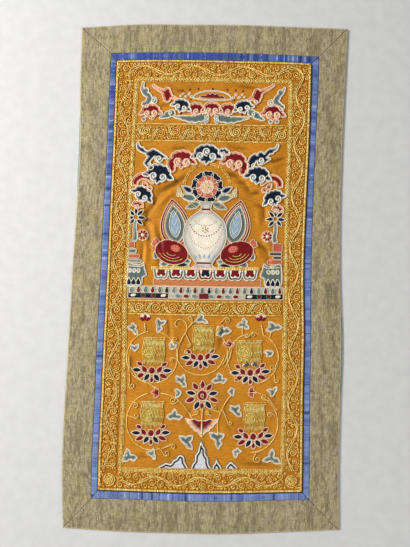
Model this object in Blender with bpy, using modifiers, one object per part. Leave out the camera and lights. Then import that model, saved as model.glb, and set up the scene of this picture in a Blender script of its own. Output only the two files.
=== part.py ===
"""An embroidered silk panel, lying flat and face up.

An ochre satin field is framed by a narrow blue ribbon and a wide olive silk border with
mitred corners, all sewn to a thin teal lining that peeps out at both sides.

Metres, +Z up. The panel lies in the XY plane with its top towards +Y and its face towards
+Z. The origin is the middle of the lining's underside.
"""
import math

import bmesh
import bpy
from mathutils import Vector

MM = 0.001

# Half sizes of the three frames of seams, in millimetres, before the cloth wanders.
BORDER_HALF = Vector((205.0, 383.0))
RIBBON_HALF = Vector((161.0, 338.5))
SILK_HALF = Vector((152.0, 328.0))

# Thicknesses and clearances, in millimetres.
LINING_THICK = 1.0
FRONT_THICK = 1.2
SEAM_GAP = 0.3
HALF_GAP = Vector((SEAM_GAP, SEAM_GAP)) / 2
MITRE_GAP = SEAM_GAP * math.sqrt(0.5)
FRONT_FLOOR = LINING_THICK + SEAM_GAP

# How far each upright seam strays sideways from true, in millimetres, at heights up the panel.
UPRIGHT_COLUMNS = (
    "up", "border_left", "ribbon_left", "silk_left", "silk_right", "ribbon_right", "border_right")
UPRIGHT_STRAY = (
    (383, 1.5, 5.5, 3.6, 1.0, 3.0, 1.8),
    (290, 1.8, 3.5, 2.2, 0.7, 1.6, -1.8),
    (190, 4.4, 2.2, 1.0, -1.2, -1.6, -4.7),
    (95, 2.0, -0.2, -0.6, -4.3, -4.0, -6.3),
    (0, -1.3, -1.6, -2.3, -6.0, -4.8, -5.2),
    (-95, -3.5, -4.2, -4.7, -3.6, -3.9, -1.6),
    (-190, -6.2, -5.2, -6.0, -3.9, -4.0, -2.3),
    (-290, -7.6, -6.8, -7.6, -3.2, -3.0, -3.4),
    (-383, -3.2, -5.2, -5.6, -3.4, -3.0, -1.9),
)

# How far each level seam strays up from true, in millimetres, at distances across the panel.
LEVEL_COLUMNS = (
    "across", "border_bottom", "ribbon_bottom", "silk_bottom", "silk_top", "ribbon_top", "border_top")
LEVEL_STRAY = (
    (-205, 1.0, -1.0, 2.0, -4.4, -4.0, -6.4),
    (-120, -2.6, 0.9, 1.4, 0.6, 0.3, 0.5),
    (-40, -3.3, -0.5, 0.4, 2.5, 2.5, 2.0),
    (40, -2.8, 0.3, 1.1, 2.6, 3.1, 3.3),
    (120, 1.6, 4.4, 4.2, 2.4, 1.6, 2.2),
    (205, 7.0, 6.5, 6.7, -1.0, -0.5, 1.0),
)

# Soft ridges where the front cloth lifts off the lining. Sizes in millimetres, turn in
# degrees from +X to the ridge's length.
RIDGE_COLUMNS = ("across", "up", "half_length", "half_width", "turn", "rise")
RIDGES = (
    (-70, 58, 52, 15, 104, 1.6),
    (-46, 142, 40, 15, 38, 1.2),
    (84, 122, 40, 15, -42, 1.4),
    (97, 42, 48, 15, -76, 1.4),
    (-30, 262, 64, 16, 6, 0.9),
    (72, 250, 48, 16, -8, 0.8),
    (-44, -72, 56, 17, 96, 1.2),
    (38, -210, 58, 17, 112, 1.1),
    (-92, -196, 50, 17, 64, 0.9),
    (104, -118, 54, 17, 84, 1.0),
    (-182, 176, 96, 19, 89, 1.4),
    (-187, -180, 104, 20, 91, 1.3),
    (180, 196, 88, 19, 90, 1.3),
    (181, -64, 96, 20, 90, 1.6),
    (-76, 362, 74, 19, 2, 1.3),
    (88, 364, 66, 19, -2, 1.2),
    (-94, -361, 66, 19, -2, 1.3),
    (62, -362, 70, 19, 2, 1.4),
)

# How far the lining reaches past the border's folded edge, in millimetres: it is turned in
# nearly everywhere and slips out at the two sides.
LINING_COLUMNS = ("up", "left", "right")
LINING_REACH = (
    (383, -1.6, -1.6),
    (266, -1.6, -1.6),
    (228, 1.3, -1.6),
    (136, 1.4, -1.6),
    (100, -1.6, -1.6),
    (-32, -1.6, -1.6),
    (-66, -1.6, 1.6),
    (-166, -1.6, 1.8),
    (-204, -1.6, -1.6),
    (-383, -1.6, -1.6),
)

# Cells across and along each cloth.
SILK_CELLS = (18, 40)
LINING_CELLS = (12, 30)
BORDER_CELLS_ACROSS = 4
RIBBON_CELLS_ACROSS = 1
STRIP_CELL_LENGTH = 15.0

OCHRE = (0.50, 0.20, 0.025, 1.0)
BLUE = (0.12, 0.19, 0.45, 1.0)
OLIVE = (0.34, 0.28, 0.15, 1.0)
TEAL = (0.26, 0.42, 0.40, 1.0)


def clear_scene():
    for thing in list(bpy.data.objects):
        bpy.data.objects.remove(thing, do_unlink=True)


def cloth_material(name, colour, roughness):
    material = bpy.data.materials.new(name)
    material.use_nodes = True
    shader = material.node_tree.nodes["Principled BSDF"]
    shader.inputs["Base Color"].default_value = colour
    shader.inputs["Roughness"].default_value = roughness
    shader.inputs["Metallic"].default_value = 0.0
    return material


def smooth_read(table, columns, column, place):
    """Read a column of a table at a place between its rows, on a smooth curve."""
    rows = sorted(table)
    index = columns.index(column)
    place = min(max(place, rows[0][0]), rows[-1][0])
    at = max(i for i in range(len(rows) - 1) if rows[i][0] <= place)
    low, high = rows[at], rows[at + 1]
    before = rows[max(at - 1, 0)]
    after = rows[min(at + 2, len(rows) - 1)]
    span = high[0] - low[0]
    share = (place - low[0]) / span
    leave = (high[index] - before[index]) / (high[0] - before[0]) * span
    arrive = (after[index] - low[index]) / (after[0] - low[0]) * span
    return (
        low[index] * (1 + 2 * share) * (1 - share) ** 2
        + leave * share * (1 - share) ** 2
        + high[index] * share ** 2 * (3 - 2 * share)
        - arrive * share ** 2 * (1 - share))


def between(stops, values, place):
    """Straight lines through (stop, value) pairs."""
    for low in range(len(stops) - 1):
        if place <= stops[low + 1] or low == len(stops) - 2:
            share = (place - stops[low]) / (stops[low + 1] - stops[low])
            return values[low] + share * (values[low + 1] - values[low])


def seam_stops(axis):
    halves = (BORDER_HALF[axis], RIBBON_HALF[axis], SILK_HALF[axis])
    return [-half for half in halves] + list(reversed(halves))


def rise(across, up):
    """Height in millimetres of the soft ridges at a place on the true panel."""
    height = 0.0
    for row in RIDGES:
        ridge = dict(zip(RIDGE_COLUMNS, row))
        offset = Vector((across - ridge["across"], up - ridge["up"]))
        angle = math.radians(ridge["turn"])
        along = offset.dot((math.cos(angle), math.sin(angle))) / ridge["half_length"]
        side = offset.dot((-math.sin(angle), math.cos(angle))) / ridge["half_width"]
        if abs(along) < 1 and abs(side) < 1:
            height += ridge["rise"] * (1 - along ** 2) ** 2 * (1 - side ** 2) ** 2
    return height


def lay(across, up):
    """Where a place on the true panel lies on the real, slightly crooked one."""
    upright = [smooth_read(UPRIGHT_STRAY, UPRIGHT_COLUMNS, name, up) for name in UPRIGHT_COLUMNS[1:]]
    level = [smooth_read(LEVEL_STRAY, LEVEL_COLUMNS, name, across) for name in LEVEL_COLUMNS[1:]]
    return Vector((
        across + between(seam_stops(0), upright, across),
        up + between(seam_stops(1), level, up)))


def sheet(name, cells, place, thick, material, collection):
    """A grid of cells laid out by place(share across, share up), thickened upwards."""
    mesh = bpy.data.meshes.new(name)
    grid = bmesh.new()
    bmesh.ops.create_grid(grid, x_segments=cells[0], y_segments=cells[1], size=0.5)
    for vertex in grid.verts:
        vertex.co = Vector(place(vertex.co.x + 0.5, vertex.co.y + 0.5)) * MM
    grid.to_mesh(mesh)
    grid.free()
    mesh.materials.append(material)
    mesh.shade_smooth()
    cloth = bpy.data.objects.new(name, mesh)
    collection.objects.link(cloth)
    shell = cloth.modifiers.new("Thickness", "SOLIDIFY")
    shell.thickness = thick * MM
    shell.offset = 1.0
    return cloth


def front_place(across, up):
    """A place on the underside of the front cloths."""
    flat = lay(across, up)
    return flat.x, flat.y, FRONT_FLOOR + rise(across, up)


def add_silk_ground(collection):
    half = SILK_HALF - HALF_GAP

    def place(share_across, share_up):
        return front_place(half.x * (2 * share_across - 1), half.y * (2 * share_up - 1))

    material = cloth_material("ochre_satin", OCHRE, 0.42)
    sheet("silk_ground", SILK_CELLS, place, FRONT_THICK, material, collection)


def add_frame_strips(kind, outer, inner, cells_across, material, collection):
    """Four mitred strips between two rectangles of seams, half a gap clear of the inner one."""
    inner = inner + HALF_GAP
    for side, axis, sign in (("top", 1, 1), ("bottom", 1, -1), ("left", 0, -1), ("right", 0, 1)):
        def place(share_long, share_wide, axis=axis, sign=sign):
            depth = inner[axis] + share_wide * (outer[axis] - inner[axis])
            reach = inner[1 - axis] + share_wide * (outer[1 - axis] - inner[1 - axis]) - MITRE_GAP
            travel = reach * (2 * share_long - 1)
            spot = (travel * sign, depth * sign) if axis == 1 else (depth * sign, -travel * sign)
            return front_place(*spot)

        cells = (round(2 * BORDER_HALF[1 - axis] / STRIP_CELL_LENGTH), cells_across)
        sheet(f"{kind}_{side}", cells, place, FRONT_THICK, material, collection)


def add_border(collection):
    material = cloth_material("olive_silk", OLIVE, 0.75)
    add_frame_strips(
        "border", BORDER_HALF, RIBBON_HALF, BORDER_CELLS_ACROSS, material, collection)


def add_ribbon(collection):
    material = cloth_material("blue_ribbon", BLUE, 0.4)
    outer = RIBBON_HALF - HALF_GAP
    add_frame_strips("ribbon", outer, SILK_HALF, RIBBON_CELLS_ACROSS, material, collection)


def add_lining(collection):
    turned_in = -min(row[1] for row in LINING_REACH)

    def place(share_across, share_up):
        up = (BORDER_HALF.y - turned_in) * (2 * share_up - 1)
        left = BORDER_HALF.x + smooth_read(LINING_REACH, LINING_COLUMNS, "left", up)
        right = BORDER_HALF.x + smooth_read(LINING_REACH, LINING_COLUMNS, "right", up)
        flat = lay(-left + share_across * (left + right), up)
        return flat.x, flat.y, 0.0

    material = cloth_material("teal_lining", TEAL, 0.7)
    sheet("lining", LINING_CELLS, place, LINING_THICK, material, collection)


def main():
    clear_scene()
    panel = bpy.data.collections.new("embroidered_silk_panel")
    bpy.context.scene.collection.children.link(panel)
    add_lining(panel)
    add_silk_ground(panel)
    add_ribbon(panel)
    add_border(panel)


main()
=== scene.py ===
"""The looks of an embroidered silk panel that lies flat, face up.

An ochre satin field, worked with couched gold thread and silk floss, is framed by a puckered
blue ribbon and a wide olive slubbed border on a teal lining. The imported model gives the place
of every cloth. Flat sizes are in millimetres on the true, uncrooked panel: across from its
middle line and up from its middle height.
"""
import math
from collections import defaultdict

import bpy
import numpy as np
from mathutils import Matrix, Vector
from mathutils.geometry import delaunay_2d_cdt


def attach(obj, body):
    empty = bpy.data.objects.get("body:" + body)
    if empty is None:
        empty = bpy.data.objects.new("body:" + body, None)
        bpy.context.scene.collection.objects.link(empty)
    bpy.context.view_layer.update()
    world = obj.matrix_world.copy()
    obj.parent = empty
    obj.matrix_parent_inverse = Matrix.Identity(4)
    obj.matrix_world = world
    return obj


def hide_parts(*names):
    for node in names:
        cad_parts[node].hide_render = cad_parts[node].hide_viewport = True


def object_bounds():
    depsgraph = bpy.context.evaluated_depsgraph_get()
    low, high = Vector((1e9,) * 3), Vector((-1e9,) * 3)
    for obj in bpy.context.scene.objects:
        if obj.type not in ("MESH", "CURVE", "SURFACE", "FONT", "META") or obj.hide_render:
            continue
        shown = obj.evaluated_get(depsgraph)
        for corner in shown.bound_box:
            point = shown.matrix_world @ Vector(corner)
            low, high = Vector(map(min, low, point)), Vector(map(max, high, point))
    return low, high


bl_info = {
    "name": "Embroidered Silk Panel",
    "version": (1, 0, 0),
    "blender": (4, 5, 0),
    "location": "3D View > Sidebar > Silk Panel",
    "description": "Lays out the cloths of an embroidered silk panel and works its stitches",
    "category": "Add Mesh",
}

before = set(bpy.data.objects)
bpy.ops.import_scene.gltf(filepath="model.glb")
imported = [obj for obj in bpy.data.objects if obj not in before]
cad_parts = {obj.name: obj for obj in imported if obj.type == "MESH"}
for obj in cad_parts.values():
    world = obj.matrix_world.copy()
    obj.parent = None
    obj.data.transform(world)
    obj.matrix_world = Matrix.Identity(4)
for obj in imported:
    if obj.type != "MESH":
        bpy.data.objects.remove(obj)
CAD_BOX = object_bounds()

MM = 0.001
TAU = 2 * math.pi

# ---- how the cloths lie

BORDER_HALF = np.array((205.0, 383.0))
RIBBON_HALF = np.array((161.0, 338.5))
SILK_HALF = np.array((152.0, 328.0))
# The ribbon reaches over the satin's cut edge, so the field that shows is a little smaller.
FIELD_HALF = SILK_HALF - 1.5
SEAM_GAP = 0.3
LINING_TOP = 1.0
FRONT_FLOOR = 1.3
CLOTH_TOP = 2.5
# How far the satin field puffs up over its wadding, and how much its creases stand out.
SATIN_RISE = 1.6
CREASE_RISE = 2.4
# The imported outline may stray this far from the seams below.
MOST_DRIFT = 2.5

# The gold scroll frame's inner edges, the level gold bands between the pictures (lower edge,
# upper edge), the width of the frame's inner chain, and how far its outer line is from the ribbon.
FIELD_LEFT, FIELD_RIGHT = -116.5, 117.5
FIELD_TOP, FIELD_BOTTOM = 292.0, -291.0
LEVEL_BANDS = ((199.5, 228.0), (-64.0, -41.0))
LADDER_WIDTH = 6.4
RIBBON_LINE = 2.7

# Where the two upright chains run across the panel, at heights up it: left, right.
LADDER_PLACE = np.array((
    (-296, -117.5, 120.3), (-191, -117.0, 122.0), (-101, -118.7, 120.8), (-25, -121.6, 123.2),
    (35, -119.6, 122.4), (112, -120.5, 120.5), (205, -119.5, 120.2), (296, -118.0, 119.5),
))

# How far each upright seam strays sideways, at heights up the panel: border left, ribbon
# left, silk left, silk right, ribbon right, border right.
UPRIGHT_STRAY = np.array((
    (-383, -3.2, -5.2, -5.6, -3.4, -3.0, -1.9),
    (-290, -7.6, -6.8, -7.6, -3.2, -3.0, -3.4),
    (-190, -6.2, -5.2, -6.0, -3.9, -4.0, -2.3),
    (-95, -3.5, -4.2, -4.7, -3.6, -3.9, -1.6),
    (0, -1.3, -1.6, -2.3, -6.0, -4.8, -5.2),
    (95, 2.0, -0.2, -0.6, -4.3, -4.0, -6.3),
    (190, 4.4, 2.2, 1.0, -1.2, -1.6, -4.7),
    (290, 1.8, 3.5, 2.2, 0.7, 1.6, -1.8),
    (383, 1.5, 5.5, 3.6, 1.0, 3.0, 1.8),
))

# How far each level seam strays upwards, at distances across: border bottom, ribbon bottom,
# silk bottom, silk top, ribbon top, border top.
LEVEL_STRAY = np.array((
    (-205, 1.0, -1.0, 2.0, -4.4, -4.0, -6.4),
    (-120, -2.6, 0.9, 1.4, 0.6, 0.3, 0.5),
    (-40, -3.3, -0.5, 0.4, 2.5, 2.5, 2.0),
    (40, -2.8, 0.3, 1.1, 2.6, 3.1, 3.3),
    (120, 1.6, 4.4, 4.2, 2.4, 1.6, 2.2),
    (205, 7.0, 6.5, 6.7, -1.0, -0.5, 1.0),
))

# Soft ridges of the cloth, as packed: across, up, half length, half width, turn, rise.
RIDGES = (
    (-70, 58, 52, 15, 104, 1.6), (-46, 142, 40, 15, 38, 1.2), (84, 122, 40, 15, -42, 1.4),
    (97, 42, 48, 15, -76, 1.4), (-30, 262, 64, 16, 6, 0.9), (72, 250, 48, 16, -8, 0.8),
    (-44, -72, 56, 17, 96, 1.2), (38, -210, 58, 17, 112, 1.1), (-92, -196, 50, 17, 64, 0.9),
    (104, -118, 54, 17, 84, 1.0), (-182, 176, 96, 19, 89, 1.4), (-187, -180, 104, 20, 91, 1.3),
    (180, 196, 88, 19, 90, 1.3), (181, -64, 96, 20, 90, 1.6), (-76, 362, 74, 19, 2, 1.3),
    (88, 364, 66, 19, -2, 1.2), (-94, -361, 66, 19, -2, 1.3), (62, -362, 70, 19, 2, 1.4),
)

# Creases of the satin between the stitches, in the same columns: folds rise, valleys fall.
CREASES = (
    (34, 151, 22, 6, -18, -0.9), (50, 139, 12, 5, -14, -0.9), (59, 131, 14, 5, -58, -0.8),
    (72, 123, 12, 5, 8, -0.9), (46, 131, 26, 6, -40, 0.9), (66, 134, 20, 5, -20, 0.7),
    (80, 103, 12, 5, -18, -0.8), (86, 92, 18, 5, -86, -0.8), (94, 88, 20, 6, -84, 0.9),
    (78, 84, 20, 5, -80, 0.7), (87, 40, 16, 5, -46, -0.9), (94, 47, 18, 5, -50, 0.8),
    (80, 33, 18, 5, -60, 0.7), (96, 18, 24, 5, -74, -0.8), (104, 174, 18, 6, 20, -0.9),
    (100, 166, 20, 5, 24, 0.8), (-84, 104, 26, 6, 62, -0.7), (-63, 130, 24, 6, 30, -0.9),
    (-45, 141, 22, 6, 38, -0.8), (-68, 110, 20, 5, 46, 0.8), (-56, 119, 22, 5, 34, 0.7),
    (-94, 84, 24, 5, 84, -0.7), (-86, 79, 14, 5, -6, -0.8), (-80, 62, 28, 6, 104, 1.0),
    (-88, 50, 30, 5, 102, -0.9), (-72, 50, 26, 5, 104, -0.9), (-81, 34, 26, 5, 112, 0.8),
    (-74, 22, 24, 5, 108, -0.8), (-92, 24, 26, 6, 88, 0.8), (-98, 30, 26, 5, 90, -0.7),
    (-48, 190, 26, 5, 6, -0.7), (44, 192, 26, 5, -6, -0.6), (-104, 204, 22, 4.5, -12, 0.6),
    (-52, 280, 30, 5, -28, -0.7), (-40, 286, 36, 5, 8, 0.6), (52, 286, 34, 5, -5, -0.7),
    (60, 278, 34, 5, -8, 0.5), (-74, 256, 20, 5, 20, -0.6), (72, 228, 30, 5, 4, -0.7),
    (-66, 228, 30, 5, -3, -0.6), (96, 230, 22, 5, 14, 0.6), (-46, -92, 36, 5, 94, 0.4),
    (-53, -84, 30, 4.5, 96, -0.7), (20, -92, 28, 5, 80, 0.6), (26, -98, 28, 4.5, 82, -0.6),
    (60, -98, 30, 5, 38, 0.5), (-20, -212, 26, 5, 66, -0.5), (52, -212, 26, 5, 120, 0.5),
    (40, -228, 24, 5, 118, -0.5), (-92, -268, 30, 5, 10, 0.5), (-86, -276, 30, 4.5, 6, -0.5),
    (86, -276, 34, 5, -6, 0.6), (80, -284, 34, 4.5, -4, -0.7), (108, -176, 28, 5, 92, -0.6),
    (-110, -128, 28, 5, 88, 0.5), (-60, -160, 22, 5, 30, -0.4),
)

# How far the lining reaches past the border's folded edge: up, left, right.
LINING_REACH = np.array((
    (-383, -1.6, -1.6), (-204, -1.6, -1.6), (-166, -1.6, 1.8), (-66, -1.6, 1.6), (-32, -1.6, -1.6),
    (100, -1.6, -1.6), (136, 1.4, -1.6), (228, 1.3, -1.6), (266, -1.6, -1.6), (383, -1.6, -1.6),
))


def read_smooth(table, column, place):
    """A table's column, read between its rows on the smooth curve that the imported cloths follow."""
    stops, values = table[:, 0], table[:, column]
    place = np.clip(place, stops[0], stops[-1])
    low = np.clip(np.searchsorted(stops, place, side="right") - 1, 0, len(stops) - 2)
    high = low + 1
    before = np.maximum(low - 1, 0)
    after = np.minimum(low + 2, len(stops) - 1)
    span = stops[high] - stops[low]
    share = (place - stops[low]) / span
    leave = (values[high] - values[before]) / (stops[high] - stops[before]) * span
    arrive = (values[after] - values[low]) / (stops[after] - stops[low]) * span
    rest = 1 - share
    return (
        values[low] * (1 + 2 * share) * rest ** 2
        + leave * share * rest ** 2
        + values[high] * share ** 2 * (3 - 2 * share)
        - arrive * share ** 2 * rest)


def seam_blend(axis, strays, place):
    """The stray at a place between the six seams of one direction."""
    halves = np.array((BORDER_HALF[axis], RIBBON_HALF[axis], SILK_HALF[axis]))
    stops = np.concatenate((-halves, halves[::-1]))
    at = np.clip(np.searchsorted(stops, place, side="right") - 1, 0, len(stops) - 2)
    share = (place - stops[at]) / (stops[at + 1] - stops[at])
    pick = np.arange(len(place))
    return strays[at, pick] * (1 - share) + strays[at + 1, pick] * share


def lay(flat):
    """Where flat places lie on the real, slightly crooked panel, in millimetres."""
    across, up = flat[:, 0], flat[:, 1]
    upright = np.array([read_smooth(UPRIGHT_STRAY, column, up) for column in range(1, 7)])
    level = np.array([read_smooth(LEVEL_STRAY, column, across) for column in range(1, 7)])
    return np.stack((across + seam_blend(0, upright, across), up + seam_blend(1, level, up)), axis=1)


def check_outline(packed):
    """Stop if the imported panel's outline is no longer the one that the seams above describe."""
    travel = np.linspace(-1, 1, 201)[:, None]
    ends = np.ones_like(travel)
    rim = np.vstack([
        np.hstack(pair) for pair in (
            (travel, ends), (travel, -ends), (ends, travel), (-ends, travel))]) * BORDER_HALF
    laid = lay(rim)
    drift = np.abs(np.array((laid.min(axis=0), laid.max(axis=0))) - np.array(packed)[:, :2] / MM)
    if drift.max() > MOST_DRIFT:
        raise RuntimeError(f"The packed panel lies {drift.max():.1f} mm away from its seams")


def swell(flat, rows):
    """Height of soft ridges at flat places."""
    height = np.zeros(flat.shape[:-1])
    for across, up, half_length, half_width, turn, rise in rows:
        angle = math.radians(turn)
        offset = flat - (across, up)
        along = offset @ (math.cos(angle), math.sin(angle)) / half_length
        side = offset @ (-math.sin(angle), math.cos(angle)) / half_width
        height += rise * np.clip(1 - along ** 2, 0, 1) ** 2 * np.clip(1 - side ** 2, 0, 1) ** 2
    return height


def cloth_height(flat):
    """Height of the front cloths' face."""
    in_silk = (np.abs(flat) < FIELD_HALF).all(axis=-1)
    puffed = SATIN_RISE + CREASE_RISE * swell(flat, CREASES)
    return CLOTH_TOP + swell(flat, RIDGES) + in_silk * puffed


def on_cloth(flat, lift):
    """Places in the panel's space, in millimetres, a lift above the cloth's face."""
    return np.column_stack((lay(flat), cloth_height(flat) + lift))


# ---- flat drawing

def points(*pairs):
    return np.array(pairs, float)


def turned(shape, degrees):
    angle = math.radians(degrees)
    spin = np.array(((math.cos(angle), -math.sin(angle)), (math.sin(angle), math.cos(angle))))
    return shape @ spin.T


def toward(degrees):
    """The unit step at an angle."""
    return turned(points((1, 0)), degrees)[0]


def round_steps(angles):
    """Unit steps at angles in radians."""
    return np.column_stack((np.cos(angles), np.sin(angles)))


def left_of(path):
    """The unit step to the left at each point of a path."""
    run = np.gradient(path, axis=0)
    return run[:, ::-1] * (-1, 1) / np.linalg.norm(run, axis=1)[:, None]


def placed(shape, centre, turn=0, size=1, mirror=False):
    """A drawn shape or place, mirrored, sized, turned and moved to its centre."""
    shape = np.array(shape, float) * (-size if mirror else size, size)
    return turned(shape, turn) + centre


def travelled(path):
    """How far along a path each of its points is."""
    return np.concatenate(((0,), np.cumsum(np.linalg.norm(np.diff(path, axis=0), axis=1))))


def resampled(path, step, closed=False):
    """The path with points an even step apart."""
    if closed:
        path = np.vstack((path, path[:1]))
    lengths = travelled(path)
    count = max(3 if closed else 1, round(lengths[-1] / step))
    stops = np.linspace(0, lengths[-1], count + 1)
    even = np.column_stack([np.interp(stops, lengths, path[:, axis]) for axis in (0, 1)])
    return even[:-1] if closed else even


def spans(stations, per_span):
    """Smooth spans through stations, of which the outermost only steer."""
    share = np.linspace(0, 1, per_span, endpoint=False)[:, None]
    return np.vstack([
        0.5 * (2 * b + (c - a) * share + (2 * a - 5 * b + 4 * c - d) * share ** 2
               + (3 * b - a - 3 * c + d) * share ** 3)
        for a, b, c, d in zip(stations, stations[1:], stations[2:], stations[3:])])


def smooth_path(stations, per_span=10):
    """A smooth path through given stations."""
    ends = np.vstack((2 * stations[0] - stations[1], stations, 2 * stations[-1] - stations[-2]))
    return np.vstack((spans(ends, per_span), stations[-1:]))


def smooth_loop(stations, per_span):
    """A smooth closed outline through given stations."""
    return spans(np.vstack((stations[-1:], stations, stations[:2])), per_span)


def ellipse(half_wide, half_high, centre=(0, 0), turn=0):
    shape = round_steps(np.linspace(0, TAU, 28, endpoint=False)) * (half_wide, half_high)
    return placed(shape, centre, turn)


def disc(centre, radius):
    return ellipse(radius, radius, centre)


def arc(centre, radius, start, end):
    """A path round a centre between two angles in degrees; the radius may be wide and high."""
    count = max(4, round(abs(end - start) / 9))
    return round_steps(np.radians(np.linspace(start, end, count))) * radius + centre


def petal(length, width, point=0.75):
    """A petal from its root at the origin to its tip on +X."""
    share = np.linspace(0, 1, 13)
    half = width / 2 * np.sin(math.pi * share ** point) ** 0.85
    top = np.column_stack((share * length, half))
    return np.vstack((top, (top * (1, -1))[-2:0:-1]))


def band(path, half):
    """The outline of a band along a path, half as wide on each side."""
    side = left_of(path) * half[:, None]
    return np.vstack((path + side, (path - side)[::-1]))


def taper(stations, width, end_width, swell_at=0.0):
    """A band along a smooth path, narrowing to its end."""
    path = smooth_path(stations)
    share = np.linspace(0, 1, len(path))
    return band(path, (width + (end_width - width) * share + swell_at * np.sin(math.pi * share)) / 2)


def spiral(centre, radius, turns, start, pitch_end, handed):
    """A curl that winds inwards from its outer end."""
    count = max(8, round(turns * 20))
    share = np.linspace(0, 1, count)
    reach = radius * (1 - (1 - pitch_end) * share ** 0.9)
    angles = math.radians(start) + handed * TAU * turns * share
    return round_steps(angles) * reach[:, None] + centre


def inside(shape, places):
    """Which places lie inside a closed outline."""
    x, y = places[:, 0], places[:, 1]
    result = np.zeros(len(places), bool)
    for (x0, y0), (x1, y1) in zip(shape, np.roll(shape, -1, axis=0)):
        if y0 != y1:
            crosses = (y0 > y) != (y1 > y)
            result ^= crosses & (x < (x1 - x0) * (y - y0) / (y1 - y0) + x0)
    return result


def distance_to(outlines, places):
    """Distance from each place to the nearest outline."""
    best = np.full(len(places), 1e9)
    for outline in outlines:
        run = np.roll(outline, -1, axis=0) - outline
        length = np.maximum((run ** 2).sum(axis=1), 1e-12)
        offset = places[:, None, :] - outline
        share = np.clip((offset * run).sum(axis=2) / length, 0, 1)
        gap = np.linalg.norm(offset - share[:, :, None] * run, axis=2).min(axis=1)
        best = np.minimum(best, gap)
    return best


def numbered(loops):
    """The loops' points as lists of numbers that run on from loop to loop."""
    stops = np.cumsum([0] + [len(loop) for loop in loops]).tolist()
    return [list(range(first, last)) for first, last in zip(stops, stops[1:])]


def open_sides(faces):
    """The sides of faces that no neighbour shares."""
    sides = {side: True for face in faces for side in zip(face, face[1:] + face[:1])}
    return [side for side in sides if side[::-1] not in sides]


# Loops of no more points than this are slivers.
SLIVER = 5


def fused(shapes):
    """The outer outlines of overlapping shapes, as one or more closed loops."""
    shapes = [shape if area_of(shape) > 0 else shape[::-1] for shape in shapes]
    places = [Vector(place) for shape in shapes for place in shape]
    out, _, tris, _, _, owners = delaunay_2d_cdt(places, [], numbered(shapes), 1, 1e-4)
    following = dict(open_sides([tri for tri, owner in zip(tris, owners) if owner]))
    loops = []
    while following:
        first, here = following.popitem()
        loop = [first]
        while here != first and here in following:
            loop.append(here)
            here = following.pop(here)
        if len(loop) > SLIVER:
            loops.append(np.array([out[i] for i in loop]))
    return loops


def area_of(shape):
    x, y = shape[:, 0], shape[:, 1]
    return 0.5 * (x * np.roll(y, -1) - y * np.roll(x, -1)).sum()


# ---- threads

def in_scene(name, data):
    """A new object, put into the scene."""
    made = bpy.data.objects.new(name, data)
    bpy.context.scene.collection.objects.link(made)
    return made


def piece_of_mesh(name, places, faces, guide, lengths, material):
    """A new piece from places in millimetres, with the guide that its material's grain follows."""
    mesh = bpy.data.meshes.new(name)
    mesh.from_pydata(places * MM, [], faces)
    kept = mesh.attributes.new(guide, "FLOAT_VECTOR", "POINT")
    kept.data.foreach_set("vector", lengths.astype(np.float32).ravel())
    mesh.materials.append(material)
    mesh.shade_smooth()
    return in_scene(name, mesh)


class Threads:
    """Gathers stitches of one colour, to make them one piece of mesh.

    Each point carries a guide of three lengths in millimetres: along the thread, across it,
    and in from the edge of a filled shape.
    """

    def __init__(self):
        self.points, self.guides, self.faces = [], [], []
        self.count = 0

    def add(self, places, guides, faces):
        self.points.append(places)
        self.guides.append(guides)
        self.faces += [tuple(index + self.count for index in face) for face in faces]
        self.count += len(places)

    def piece(self, name, material):
        return piece_of_mesh(
            name, np.vstack(self.points), self.faces, "thread", np.vstack(self.guides), material)


# A cord's section, and the share of its radius by which its middle stands above the cloth.
CORD_SIDES = 5
CORD_SHOWS = 0.55
# How far a rim's cord stands above the foot of its pad, and how thick a pad is under its edge.
RIM_LIFT = 0.25
PAD_FOOT = 0.15
# How far the edge sinks of a pad that lies on another pad.
SHALLOW = 0.12
# About how long the mesh sides along a pad's edge may be. Inside, as shares of its mesh cell: how
# far apart its rows are, and how clear of its edge they stay.
EDGE_SIDE = 1.2
ROW_RISE = 0.87
EDGE_CLEAR = 0.45


def cord(threads, path, radius, lift=0.0, closed=False, step=1.2):
    """A round thread couched along a flat path, its underside pressed into the cloth."""
    path = resampled(path, step, closed)
    places = on_cloth(path, lift + radius * CORD_SHOWS)
    if closed:
        run = np.roll(places, -1, axis=0) - np.roll(places, 1, axis=0)
    else:
        run = np.gradient(places, axis=0)
    side = np.column_stack((-run[:, 1], run[:, 0]))
    side /= np.maximum(np.linalg.norm(side, axis=1), 1e-9)[:, None]
    angles = -TAU / 4 + TAU * np.arange(CORD_SIDES) / CORD_SIDES
    if closed:
        places, side = np.vstack((places, places[:1])), np.vstack((side, side[:1]))
    count = len(places)
    rings = np.repeat(places[:, None, :], CORD_SIDES, axis=1)
    rings[:, :, :2] -= side[:, None, :] * (radius * np.cos(angles))[None, :, None]
    rings[:, :, 2] += radius * np.sin(angles)
    guides = np.stack(np.broadcast_arrays(travelled(places)[:, None], angles, radius), axis=2)
    here = np.arange(count - 1)[:, None] * CORD_SIDES
    there = here + CORD_SIDES
    a = np.arange(CORD_SIDES)[None, :]
    b = (a + 1) % CORD_SIDES
    faces = np.stack((here + a, there + a, there + b, here + b), axis=2).reshape(-1, 4).tolist()
    faces.append(list(range(CORD_SIDES)))
    faces.append(list(range(count * CORD_SIDES - 1, (count - 1) * CORD_SIDES - 1, -1)))
    threads.add(rings.reshape(-1, 3), guides.reshape(-1, 3), faces)


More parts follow.
